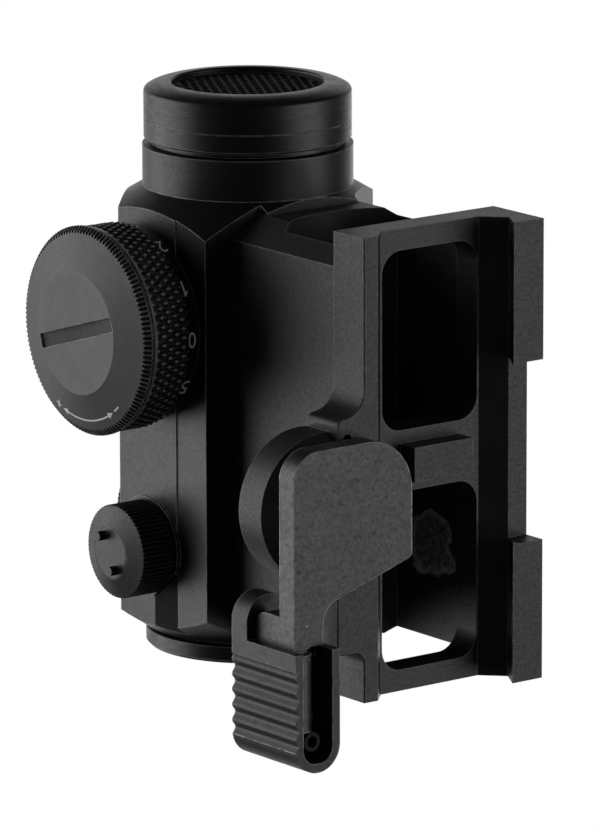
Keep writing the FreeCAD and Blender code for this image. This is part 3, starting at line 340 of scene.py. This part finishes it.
def turned_anodise(name, axis, centre, colour, rough, line_depth, edge_colour=BARE_AND_HIGHLIT_EDGE,
                   crest_r=None, slot_top=None, streak=0.5):
    """crest_r is where the knurl's crests get a painted highlight; slot_top is the face that a
    duller slot lies under.
    """
    paint = Paint(name)
    where = paint.place() - tuple(c / MM for c in centre)
    along = where.part(axis)
    across = [where.part(other) for other in "XYZ" if other != axis]
    outward = (across[0] * across[0] + across[1] * across[1]) ** 0.5
    profile = paint.node("ShaderNodeCombineXYZ", {}, {0: along, 1: outward, 2: 0.0})
    lines = paint.noise(profile * 7.0, 1.0, 4.0, 0.7)       # seven per millimetre
    patches = paint.noise(where, 0.2, 3.0)
    squeeze = tuple(4.5 if other == axis else 0.45 for other in "XYZ")
    streaks = paint.noise(where * squeeze, 1.0, 4.0, 0.8)   # ten times longer than wide
    wear = paint.noise(where, 0.7, 4.0, 0.6).ramp(0.38, 0.62)
    # edges painted pale: partly bare metal from wear, partly a painted highlight
    rim = paint.edges(0.18 * MM) * (wear * 0.6 + 0.4) * 0.85
    tone = paint.mix(patches.ramp(0.3, 0.7) * 0.35, colour, tuple(c * 1.6 for c in colour))
    sheen = streaks.ramp(0.36, 0.66) * streak + (0.5 - streak) * 0.5
    dull = 0.0
    if crest_r:
        # the knurl's crests, painted paler as a highlight
        crest = (outward - crest_r / MM).ramp(-0.10, -0.02)
        tone = paint.mix(crest * (streaks.ramp(0.40, 0.58) * 0.6 + 0.4), tone, CREST_HIGHLIGHT_GREY)
    if slot_top:
        below_face = 1.0 - (along + (centre[0] - slot_top) / MM).ramp(-0.14, -0.08)
        in_slot = below_face * (1.0 - outward.ramp(*SLOT_R))
        dull = in_slot * (lines * 0.3)
        sheen = sheen * (1.0 - in_slot)
    return paint.set(Base_Color=paint.mix(rim, tone, edge_colour),
                     Metallic=rim * 0.3,
                     Roughness=rough + (lines - 0.5) * 0.24 + (patches - 0.5) * 0.08 + dull
                     + rim * 0.15,
                     Coat_Roughness=0.4,
                     Coat_Weight=sheen,
                     Normal=paint.bump(lines, line_depth, 0.15 * MM))


keep(turned_anodise, "ring_anodise", axis="Y", centre=ring_middle,
     colour=(0.006, 0.0065, 0.007), rough=0.40, line_depth=0.006 * MM)
keep(turned_anodise, "dial_anodise", axis="X", centre=dial_middle,
     colour=(0.007, 0.0075, 0.008), rough=0.33, line_depth=0.004 * MM,
     edge_colour=(0.16, 0.16, 0.16), crest_r=band_r)
keep(turned_anodise, "dial_cap_anodise", axis="X", centre=dial_middle,
     colour=(0.0105, 0.011, 0.0115), rough=0.43, line_depth=0.006 * MM,
     slot_top=cap_high[0], streak=0.14)
print("turned finishes", [name for name in FINISHES if name.startswith(("ring", "dial"))])

# %% [markdown]
# ## The dark inside
# The bore, the lens cell and the comb are blackened so that they reflect nothing. Their edges are
# painted a little lighter as a painted sheen. On the thin upper edges of the comb's foil, this is
# what makes its cells visible.

# %% Flat blacks
def flat_black(name, colour, rough, edge_colour):
    paint = Paint(name)
    dust = paint.noise(paint.place(), 3.5, 4.0, 0.7)
    rim = paint.edges(0.05 * MM)
    # edges painted lighter: a painted sheen
    return paint.set(Base_Color=paint.mix(rim * 0.5, colour, edge_colour),
                     Roughness=rough + (dust - 0.5) * 0.14,
                     Normal=paint.bump(dust, 0.01 * MM))


keep(flat_black, "inner_black", colour=(0.0045, 0.0045, 0.005), rough=0.62,
     edge_colour=(0.02, 0.02, 0.02))
keep(flat_black, "comb_black", colour=(0.003, 0.003, 0.0032), rough=0.66,
     edge_colour=(0.012, 0.012, 0.012))
print("flat blacks", [name for name in FINISHES if name.endswith("black")])

# %% [markdown]
# ## The clamp lever
# The lever is blackened steel that has been used: faint scratches in all directions, small pale
# specks and edges rubbed to bare metal. Scratches are stretched noise, laid down in three
# directions, each kept only where it is near its peak. The lock slide and the small screws take the
# same function with fewer marks.

# %% Worn black steel
SCRATCH_SETS = ((0.5, 0.9, 0.67), (1.45, 1.2, 0.69), (2.4, 0.8, 0.68))   # angle, scale, cut-off


def scratches(paint, where, angle, scale, cut_off):
    """Long thin marks in one direction."""
    turned = paint.node("ShaderNodeVectorRotate", {"rotation_type": "Z_AXIS"},
                        {"Vector": where, "Angle": angle})
    long_thin = turned * (0.22, 5.0, 0.22)
    return paint.noise(long_thin, scale, 3.0, 0.6).ramp(cut_off, cut_off + 0.06)


def worn_steel(name, colour, bare, scratch_share, speck_share, edge_share, sheen, rough):
    """The shares say how strongly each kind of wear shows, 0 to 1; without sheen it is matte."""
    paint = Paint(name)
    where = paint.place()
    patches = paint.noise(where, 0.25, 5.0, 0.65)       # uneven blacking
    first, second, third = [scratches(paint, where, *one_set) for one_set in SCRATCH_SETS]
    marks = first + second + third
    specks = paint.noise(where, 1.7).ramp(0.735, 0.765)
    pits = paint.noise(where, 1.1, 5.0, 0.7).ramp(0.56, 0.76) * 0.8
    rim = paint.edges(0.28 * MM) * (paint.noise(where, 0.6, 4.0, 0.7).ramp(0.38, 0.58) * 0.7 + 0.3)
    bright = marks * scratch_share + specks * speck_share + rim * edge_share
    tone = paint.mix(patches.ramp(0.35, 0.68) * 0.7, colour, tuple(c * 2.0 for c in colour))
    fine = paint.noise(where, 6.0, 3.0, 0.65)
    if sheen:
        grain = paint.noise(where, 1.5, 5.0, 0.85)      # how much each spot shines
        paint.set(Coat_Weight=grain.ramp(0.34, 0.68) * (1.0 - pits) * sheen, Coat_Roughness=0.42)
    return paint.set(Base_Color=paint.mix(bright.ramp(0.0, 1.0), tone, bare),
                     Roughness=rough + (patches - 0.5) * 0.24 + pits * 0.2 + rim * 0.2,
                     Metallic=bright.ramp(0.1, 1.2) * 0.6,
                     Normal=paint.bump(fine * 0.5 - pits - marks * 0.3, 0.02 * MM, 0.2 * MM))


keep(worn_steel, "lever_steel", colour=(0.018, 0.0185, 0.019), bare=(0.62, 0.62, 0.60),
     scratch_share=0.3, speck_share=0.9, edge_share=0.9, sheen=0.9, rough=0.44)
keep(worn_steel, "slide_anodise", colour=(0.011, 0.0115, 0.012), bare=(0.60, 0.60, 0.58),
     scratch_share=0.08, speck_share=0.18, edge_share=0.85, sheen=0.35, rough=0.46)
# the screws are painted nearly black, a painted shade for where they sit deep in the channel
keep(worn_steel, "screw_steel", colour=(0.004, 0.004, 0.0042), bare=(0.06, 0.06, 0.06),
     scratch_share=0.10, speck_share=0.1, edge_share=0.3, sheen=0.0, rough=0.74)
print("finishes so far", len(FINISHES))

# %% [markdown]
# ## Bare metals, rubber and plastic
# These pieces are mostly hidden inside, but they show when the sight is taken apart or a cap is
# off: ground pins and springs, the cell's can, brass adjusters, seals, the board and the emitter.
# Metal is one function, with noise squeezed along Z for the grinding marks, and everything moulded
# is another, where the grain only roughens the surface.

# %% Bare metals
def bare_metal(name, colour, rough, grain):
    paint = Paint(name)
    where = paint.place()
    fine = paint.noise(where * (1.0, 1.0, 4.0), grain, 3.0, 0.6)
    tarnish = paint.noise(where, 0.5, 3.0, 0.6)
    tone = paint.mix(tarnish.ramp(0.35, 0.75) * 0.35, colour, tuple(c * 0.6 for c in colour))
    return paint.set(Base_Color=tone, Metallic=1.0, Roughness=rough + (fine - 0.5) * 0.16,
                     Normal=paint.bump(fine, 0.004 * MM, 0.06 * MM))


keep(bare_metal, "bright_steel", colour=(0.42, 0.43, 0.44), rough=0.30, grain=4.0)
keep(bare_metal, "cell_steel", colour=(0.60, 0.60, 0.60), rough=0.22, grain=3.0)
keep(bare_metal, "adjuster_brass", colour=(0.50, 0.32, 0.10), rough=0.30, grain=4.0)
print("finishes so far", len(FINISHES))


# %% Rubber, laminate and resin
def moulded(name, colour, rough, grain, grain_depth):
    paint = Paint(name)
    where = paint.place()
    fine = paint.noise(where, grain, 3.0, 0.6)
    patches = paint.noise(where, 0.4)
    tone = paint.mix(patches.ramp(0.3, 0.7) * 0.5, colour, tuple(c * 1.5 for c in colour))
    return paint.set(Base_Color=tone, Roughness=rough + (fine - 0.5) * 0.12,
                     Normal=paint.bump(fine, grain_depth))


keep(moulded, "seal_rubber", colour=(0.010, 0.010, 0.010), rough=0.62, grain=5.0,
     grain_depth=0.01 * MM)
keep(moulded, "board_plastic", colour=(0.010, 0.022, 0.014), rough=0.45, grain=6.0,
     grain_depth=0.006 * MM)
keep(moulded, "emitter_resin", colour=(0.28, 0.012, 0.008), rough=0.18, grain=2.0,
     grain_depth=0.002 * MM)
print("finishes so far", len(FINISHES))

# %% [markdown]
# ## Coated glass
# The lenses are coated so that little light comes back. A thin smooth transmitting body with a
# faint cool tint is enough: the comb in front hides most of it, and the bore behind is black.

# %% Glass
def glass(name, cool, warm):
    paint = Paint(name)
    haze = paint.noise(paint.place(), 0.3)
    return paint.set(Base_Color=paint.mix(haze * 0.4, cool, warm),
                     Roughness=0.02 + haze * 0.03, Transmission_Weight=0.9, IOR=1.45)


keep(glass, "coated_glass", cool=(0.62, 0.70, 0.72), warm=(0.70, 0.66, 0.60))
print("finishes", sorted(FINISHES))

# %% [markdown]
# ## Put each finish on its parts
# The record says which slot each part takes its finish from, so a part gets the material of the
# same name.

# %% Dress the solid parts
slot_of = {sub["node"]: sub["material_slot"] for sub in frame["record"]["subparts"]}
for node, part in frame["nodes"].items():
    part.data.materials.clear()
    part.data.materials.append(FINISHES[slot_of[node]])
print("dressed", len(slot_of))

# %% [markdown]
# ## The knurled dial
# A diamond knurl is pressed into the rim by a pair of wheels that leave two crossing sets of
# grooves. As a mesh it is a fine grid wrapped round the dial, pushed in where either set of
# grooves runs. The rest of the dial is a turned profile, so one lathe function makes both: rows of
# points at each height, and a radius for each row or each point. The heights are counted from the
# dial's own box, so the mesh stays with the solid that it stands for.

# %% Sizes of the dial
dial_axis_y, dial_axis_z = dial_middle.y, dial_middle.z
top_x = dial_high[0]                    # the face round the battery cap
base_x = top_x - 7.3 * MM               # the underside, next to the housing
ring_r = 12.9 * MM                      # the number ring
ring_top_x = base_x + 1.6 * MM
skirt_r = 11.6 * MM                     # the hollow under the floor
thread_r = 11.0 * MM                    # the battery cap screws in here
thread_x = top_x - 1.68 * MM            # its seal lies on this ledge
well_r = 10.25 * MM                     # the battery's well
floor_high_x = top_x - 4.2 * MM
floor_low_x = floor_high_x - 1.3 * MM
hub_r = 7.44 * MM                       # the hub turns in the housing
hub_bore_r = hub_r - 2.0 * MM
hub_x = dial_low[0]
centre_r = 0.4 * MM                     # the floor's rows stop short of the axis
print("dial from", round(base_x / MM, 2), "to", round(top_x / MM, 2),
      "band radius", round(band_r / MM, 2))


# %% A lathe for meshes
def lathe_x(name, rows, steps, y, z, sharp_angle):
    """Closed rings about an axis along X; each row is (x, radius) or (x, radius of the angle)."""
    points = []
    for x, radius in rows:
        for i in range(steps):
            angle = 2 * math.pi * i / steps
            r = radius(angle) if callable(radius) else radius
            points.append((x, y + r * math.cos(angle), z + r * math.sin(angle)))
    faces = []
    for k in range(len(rows)):
        here, beyond = k * steps, ((k + 1) % len(rows)) * steps
        for i in range(steps):
            j = (i + 1) % steps
            faces.append((here + i, beyond + i, beyond + j, here + j))
    mesh = bpy.data.meshes.new(name)
    mesh.from_pydata(points, [], faces)
    shell = bmesh.new()
    shell.from_mesh(mesh)
    bmesh.ops.recalc_face_normals(shell, faces=shell.faces)
    shell.to_mesh(mesh)
    shell.free()
    for face in mesh.polygons:
        face.use_smooth = True
    mesh.set_sharp_from_angle(angle=math.radians(sharp_angle))
    return mesh


def add_piece(name, mesh, finish, body):
    """An object with its finish and the body that it rides on."""
    mesh.materials.clear()
    mesh.materials.append(finish)
    piece = add_object(name, mesh)
    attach(piece, body)
    return piece


# %% The knurl's depth
KNURL_TEETH = 70
KNURL_DEPTH = 0.36 * MM
KNURL_SLOPE = math.tan(math.radians(30))
CREST_SHARE = 0.32                      # of a tooth that stays flat
knurl_pitch = 2 * math.pi * band_r / KNURL_TEETH


def groove(phase):
    """Depth share of one set of V grooves: 1 at the bottom, 0 on the crest."""
    return abs((phase % 1.0) * 2.0 - 1.0)


def knurl_radius(x):
    """Radius round the band at one height: two crossing sets of grooves, broad flat crests."""
    lean = (x - ring_top_x) * KNURL_SLOPE / knurl_pitch

    def at(angle):
        turn = angle * KNURL_TEETH / (2 * math.pi)
        depth = max(groove(turn + lean), groove(turn - lean))
        return band_r - KNURL_DEPTH * max(0.0, depth - CREST_SHARE) / (1 - CREST_SHARE)
    return at


print("knurl pitch mm", round(knurl_pitch / MM, 2))

# %% [markdown]
# The band's grid has to be finer than the grooves, or the diamonds turn to mush: ten steps per
# tooth round the rim and a row every eighth of a millimetre along it. Above and below the knurl the
# rim is left plain, and each turned edge has a small break.

# %% Build the dial
STEPS = KNURL_TEETH * 10
BAND_ROWS = 42
RING_BREAK = 0.15 * MM
BAND_BREAK = 0.08 * MM
band_low_x = ring_top_x + 0.25 * MM
band_high_x = top_x - 0.50 * MM
rows = [(base_x, skirt_r), (base_x, ring_r - RING_BREAK), (base_x + RING_BREAK, ring_r),
        (ring_top_x - 0.02 * MM, ring_r), (ring_top_x + 0.05 * MM, ring_r + 0.02 * MM)]
for k in range(BAND_ROWS + 1):
    x = band_low_x + (band_high_x - band_low_x) * k / BAND_ROWS
    rows.append((x, knurl_radius(x)))
rows += [(band_high_x + BAND_BREAK, band_r), (top_x - BAND_BREAK, band_r),
         (top_x, band_r - BAND_BREAK), (top_x, thread_r), (thread_x, thread_r),
         (thread_x, well_r), (floor_high_x, well_r), (floor_high_x, centre_r),
         (floor_low_x, centre_r), (floor_low_x, hub_bore_r), (hub_x, hub_bore_r),
         (hub_x, hub_r), (floor_low_x, hub_r), (floor_low_x, skirt_r)]
dial_mesh = lathe_x("knurled_dial", rows, STEPS, dial_axis_y, dial_axis_z, 24.0)
dial = add_piece("knurled_dial", dial_mesh, FINISHES["dial_anodise"],
                 "switch_dial")
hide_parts("dial")
print("dial faces", len(dial.data.polygons))

# %% [markdown]
# ## White paint
# Figures on the number ring and the arrow on the battery cap are engraved and filled with white
# paint. A thin body of paint just proud of the metal reads the same and moves with its part.

# %% Paint for the figures
def fill_paint(name):
    paint = Paint(name)
    chips = paint.noise(paint.place(), 5.0, 3.0, 0.7)
    tone = paint.mix(chips.ramp(0.56, 0.72), (0.90, 0.90, 0.88), (0.55, 0.55, 0.53))
    return paint.set(Base_Color=tone, Roughness=0.55 + (chips - 0.5) * 0.2,
                     Normal=paint.bump(chips, 0.004 * MM))


white_fill = fill_paint("white_fill")
print("paint", white_fill.name)

# %% [markdown]
# A figure starts flat, as text turned into a mesh. It is cut into narrow strips, so that it can
# bend, and is then wrapped round the number ring. The figures are read along the ring, and the
# setting goes from off to five on each half of the turn. The one gets an outline of its own,
# because stretched to the others' width it would be a plain bar.

# %% Flat figures, in millimetres
def flat_text(text, height, width):
    """Text as a mesh of this height and width, one unit thick."""
    curve = bpy.data.curves.new("figure", "FONT")
    curve.body = text
    curve.align_x = "CENTER"
    curve.align_y = "CENTER"
    curve.extrude = 0.02
    curve.resolution_u = 6
    holder = add_object("figure", curve)
    graph = bpy.context.evaluated_depsgraph_get()
    mesh = bpy.data.meshes.new_from_object(holder.evaluated_get(graph))
    bpy.data.objects.remove(holder)
    xs = [v.co.x for v in mesh.vertices]
    ys = [v.co.y for v in mesh.vertices]
    zs = [v.co.z for v in mesh.vertices]
    for v in mesh.vertices:
        v.co.x = ((v.co.x - min(xs)) / (max(xs) - min(xs)) - 0.5) * width
        v.co.y = ((v.co.y - min(ys)) / (max(ys) - min(ys)) - 0.5) * height
        v.co.z = (v.co.z - min(zs)) / (max(zs) - min(zs))
    return mesh


def figure_one(height):
    """The one, drawn as an outline: a thin stem with a slanted flag."""
    top = height / 2
    outline = [(-0.06, -top), (0.18, -top), (0.18, top), (0.0, top), (-0.38, top - 0.5),
               (-0.38, top - 0.8), (-0.06, top - 0.42)]
    count = len(outline)
    points = [(x, y, z) for z in (0.0, 1.0) for x, y in outline]
    faces = [tuple(reversed(range(count))), tuple(range(count, 2 * count))]
    faces += [(k, (k + 1) % count, count + (k + 1) % count, count + k) for k in range(count)]
    mesh = bpy.data.meshes.new("figure")
    mesh.from_pydata(points, [], faces)
    return mesh


def strips(mesh, count, height):
    """Cuts a flat mesh across, so that it can bend."""
    cut = bmesh.new()
    cut.from_mesh(mesh)
    for k in range(1, count):
        level = (k / count - 0.5) * height
        bmesh.ops.bisect_plane(cut, geom=cut.verts[:] + cut.edges[:] + cut.faces[:], dist=1e-5,
                               plane_co=(0, level, 0), plane_no=(0, 1, 0))
    cut.to_mesh(mesh)
    cut.free()
    return mesh


# %% Wrap the figures round the ring
FIGURES = 12
FIGURE_HEIGHT, FIGURE_WIDTH = 2.1, 1.15     # mm, along the ring and across it
FIGURE_STRIPS = 12
FIGURE_THICK = 0.03 * MM
FIGURE_SUNK = 0.01 * MM
FIRST_FIGURE = -90                          # degrees about the dial's axis
figure_x = base_x + 1.05 * MM
for k in range(FIGURES):
    angle = math.radians(FIRST_FIGURE + 360 // FIGURES * k)
    value = k % (FIGURES // 2)
    mesh = (figure_one(FIGURE_HEIGHT) if value == 1
            else flat_text(str(value), FIGURE_HEIGHT, FIGURE_WIDTH))
    strips(mesh, FIGURE_STRIPS, FIGURE_HEIGHT)
    for v in mesh.vertices:
        r = ring_r - FIGURE_SUNK + v.co.z * FIGURE_THICK
        here = angle - v.co.y * MM / ring_r
        v.co = Vector((figure_x + v.co.x * MM, dial_axis_y + r * math.cos(here),
                       dial_axis_z + r * math.sin(here)))
    add_piece(f"figure_{k:02d}", mesh, white_fill, "switch_dial")
print("figures", FIGURES)

# %% [markdown]
# ## The turning arrow on the battery cap
# A curved double arrow with a plus and a minus lies on the cap's shallow cone. Each mark is drawn
# as a flat outline in turn angle and radius, then laid on the cone.

# %% Marks on the cone
MARK_PROUD, MARK_SUNK = 0.025 * MM, -0.02 * MM
cap_top_x = cap_high[0]
cap_r = (cap_high[1] - cap_low[1]) / 2
flat_r = 8.05 * MM                      # the flat face, inside the cone
cone_low_r = cap_r - 0.62 * MM          # the cone ends at the notched bevel
cone_low_x = cap_top_x - 1.37 * MM


def on_cone(r, angle, lift):
    share = (r - flat_r) / (cone_low_r - flat_r)
    x = cap_top_x + (cone_low_x - cap_top_x) * share + lift
    return (x, dial_axis_y + r * math.cos(angle), dial_axis_z + r * math.sin(angle))


def cone_mark(name, outline):
    """A thin plate from a strip of (radius, angle) pairs, inner side then outer side."""
    points = [on_cone(r, a, MARK_PROUD) for pair in outline for r, a in pair]
    points += [on_cone(r, a, MARK_SUNK) for pair in outline for r, a in pair]
    half = len(points) // 2
    faces = []
    for k in range(len(outline) - 1):
        a, b, c, d = 2 * k, 2 * k + 1, 2 * k + 3, 2 * k + 2
        faces += [(a, b, c, d), (half + d, half + c, half + b, half + a)]
        faces += [(a, d, half + d, half + a), (c, b, half + b, half + c)]
    last = len(outline) * 2 - 2
    faces += [(1, 0, half, half + 1), (last, last + 1, half + last + 1, half + last)]
    mesh = bpy.data.meshes.new(name)
    mesh.from_pydata(points, [], faces)
    return add_piece(name, mesh, white_fill, "battery_door")


print("cone drops mm", round((cap_top_x - cone_low_x) / MM, 2))

# %% The arc with its two heads, the plus and the minus
ARC_R = 11.5 * MM
ARC_HALF = 0.11 * MM
ARC_STEPS = 32
HEAD_LONG, HEAD_HALF, HEAD_TIP = 1.1 * MM, 0.42 * MM, 0.004 * MM
HEAD_STEPS = 6
BAR_LONG, BAR_WIDE = 1.15 * MM, 0.22 * MM
BAR_STEPS = 4
arc_from, arc_to = math.radians(164), math.radians(209)
plus_at, minus_at = math.radians(153.5), math.radians(219.5)

turns = [arc_from + (arc_to - arc_from) * k / ARC_STEPS for k in range(ARC_STEPS + 1)]
cone_mark("arrow_arc", [((ARC_R - ARC_HALF, a), (ARC_R + ARC_HALF, a)) for a in turns])
for name, start, way in (("arrow_head_plus", arc_from, -1), ("arrow_head_minus", arc_to, 1)):
    head = []
    for k in range(HEAD_STEPS + 1):
        share = k / HEAD_STEPS
        a = start + way * share * HEAD_LONG / ARC_R
        half = HEAD_HALF * (1 - share) + HEAD_TIP
        head.append(((ARC_R - half, a), (ARC_R + half, a)))
    cone_mark(name, head)


def bar(name, angle, along_r, along_turn):
    """A straight bar on the arc's radius, with its length outwards and its length round the cap."""
    half_turn = along_turn / 2 / ARC_R
    turns = [angle - half_turn + 2 * half_turn * k / BAR_STEPS for k in range(BAR_STEPS + 1)]
    cone_mark(name, [((ARC_R - along_r / 2, a), (ARC_R + along_r / 2, a)) for a in turns])


bar("minus_bar", minus_at, BAR_WIDE, BAR_LONG)
bar("plus_bar_a", plus_at, BAR_WIDE, BAR_LONG)
bar("plus_bar_b", plus_at, BAR_LONG, BAR_WIDE)
print("cap marks made")

# %% [markdown]
# ## The studio
# Black parts show only what they mirror, so the light is two large soft panels: one high on the
# right, which the right-hand faces mirror, and one low on the left for the clamp's under faces.
# A third fills the far side. The background is white for the eye, and the floor is one-sided: from
# above it is a pale table with the sight's shadow, and from below it lets the camera and the lamps
# through, so the underside can be looked at. The floor fades out well clear of the sight.

# %% Floor
FLOOR_HALF = 0.4
FLOOR_GAP = 0.0002
FADE_FROM, FADE_TO = 170.0, 330.0       # mm from the middle
centre = middle(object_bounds())
floor_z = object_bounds()[0][2] - FLOOR_GAP


def pale_floor():
    paint = Paint("pale_floor")
    where = paint.place()
    fibre = paint.noise(where, 0.8, 3.0, 0.6)
    paint.set(Base_Color=paint.mix(fibre * 0.2, (0.80, 0.80, 0.80), (0.76, 0.76, 0.76)),
              Roughness=0.8)
    clear = paint.node("ShaderNodeBsdfTransparent", {}, {})
    under = paint.node("ShaderNodeNewGeometry", {}, {}, "Backfacing")
    far = ((where.part("X") ** 2.0 + where.part("Y") ** 2.0) ** 0.5).ramp(FADE_FROM, FADE_TO)
    gone = paint.node("ShaderNodeMath", {"operation": "MAXIMUM"}, {0: under, 1: far})
    solid = Value(paint, paint.shader.outputs[0])
    shown = paint.node("ShaderNodeMixShader", {}, {0: gone, 1: solid, 2: clear})
    paint.put(paint.out.inputs["Surface"], shown)
    return paint.material


floor_mesh = bpy.data.meshes.new("floor")
corners = [(x * FLOOR_HALF, y * FLOOR_HALF, 0) for x, y in ((-1, -1), (1, -1), (1, 1), (-1, 1))]
floor_mesh.from_pydata(corners, [], [(0, 1, 2, 3)])
floor_mesh.materials.append(pale_floor())
floor = add_object("floor", floor_mesh)
floor.location = (0, 0, floor_z)
floor.visible_shadow = False
floor.visible_glossy = False
floor.visible_diffuse = False
floor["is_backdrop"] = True
print("floor at z mm", round(floor_z / MM, 2))

# %% [markdown]
# The world is white to the eye. What the metal mirrors is a room: the white backdrop on one side,
# and dark elsewhere, as in a studio where black cards keep black parts black.

# %% World
BACKDROP_WAY = Vector((-0.61, -0.22, 0.76)).normalized()
BACKDROP_LEVEL, CARD_LEVEL = 0.8, 0.012     # what the metal mirrors
AMBIENT = 0.08                              # what lights the rest


def studio_world():
    world = bpy.data.worlds.new("studio")
    room = Paint("studio", world)
    way = room.node("ShaderNodeTexCoord", {}, {}, "Generated")
    facing = room.node("ShaderNodeVectorMath", {"operation": "DOT_PRODUCT"},
                       {0: way, 1: tuple(BACKDROP_WAY)}, "Value")
    backdrop = facing.ramp(0.55, 0.95)
    seen, mirrored, through = [room.node("ShaderNodeLightPath", {}, {}, f"Is {kind} Ray")
                               for kind in ("Camera", "Glossy", "Transmission")]
    shown = room.node("ShaderNodeMath", {"operation": "MAXIMUM"}, {0: seen, 1: through})
    around = mirrored * (backdrop * BACKDROP_LEVEL + CARD_LEVEL) + (1.0 - mirrored) * AMBIENT
    room.set(Strength=shown + (1.0 - shown) * around, Color=(1, 1, 1))
    return world


bpy.context.scene.world = studio_world()
print("world", bpy.context.scene.world.name)

# %% [markdown]
# Each panel is a square area lamp that faces the sight. Its size sets how soft the sheen's edge is,
# and its place decides which faces mirror it. The camera doesn't see the panels themselves.

# %% Soft panels
def panel(name, way, distance, size, energy):
    """A square soft panel that faces the sight from one direction."""
    lamp = bpy.data.lights.new(name, "AREA")
    lamp.energy = energy
    lamp.shape = "SQUARE"
    lamp.size = size
    holder = add_object(name, lamp)
    holder.location = centre + Vector(way).normalized() * distance
    holder.rotation_euler = (-Vector(way)).to_track_quat("-Z", "Y").to_euler()
    holder.visible_camera = False
    print(name, "size m", size, "energy W", energy)


panel("panel_right", (0.66, 0.04, 0.74), distance=0.75, size=0.80, energy=3.8)
panel("panel_under", (-0.49, -0.04, -0.76), distance=0.75, size=0.56, energy=1.6)
panel("panel_far", (-0.70, -0.34, 0.60), distance=0.8, size=0.4, energy=0.8)

# %% [markdown]
# ## The camera
# It looks up from below and to the right, from nearly a metre away with a long lens, so the
# sight's lines stay almost parallel. Its axes are the columns of the turn: right, up and backwards.

# %% Camera
CAMERA_PLACE = Vector((0.60925, 0.22633, -0.76282))
CAMERA_TURN = Matrix(((-0.79141054, -0.13672346, 0.59579866),
                      (-0.00248303, 0.97537691, 0.22053056),
                      (-0.61127996, 0.17305082, -0.77226306)))
lens = bpy.data.cameras.new("camera")
lens.lens = 344.4
lens.sensor_width = 36.0
lens.sensor_fit = "AUTO"
lens.clip_start = 0.01
lens.clip_end = 10.0
camera = add_object("camera", lens)
camera.matrix_world = Matrix.Translation(CAMERA_PLACE) @ CAMERA_TURN.to_4x4()
bpy.context.scene.camera = camera
print("camera distance m", round((CAMERA_PLACE - centre).length, 3))

# %% [markdown]
# ## Hand over
# Standard view transform keeps colours as written. The two boxes are kept to show that the
# dressing has not changed the sight's size.

# %% Finish
bpy.context.scene.view_settings.view_transform = "Standard"
now_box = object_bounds()
pairs = [pair for before, after in zip(cad_box, now_box) for pair in zip(before, after)]
print("size change mm", [round((after - before) / MM, 3) for before, after in pairs])
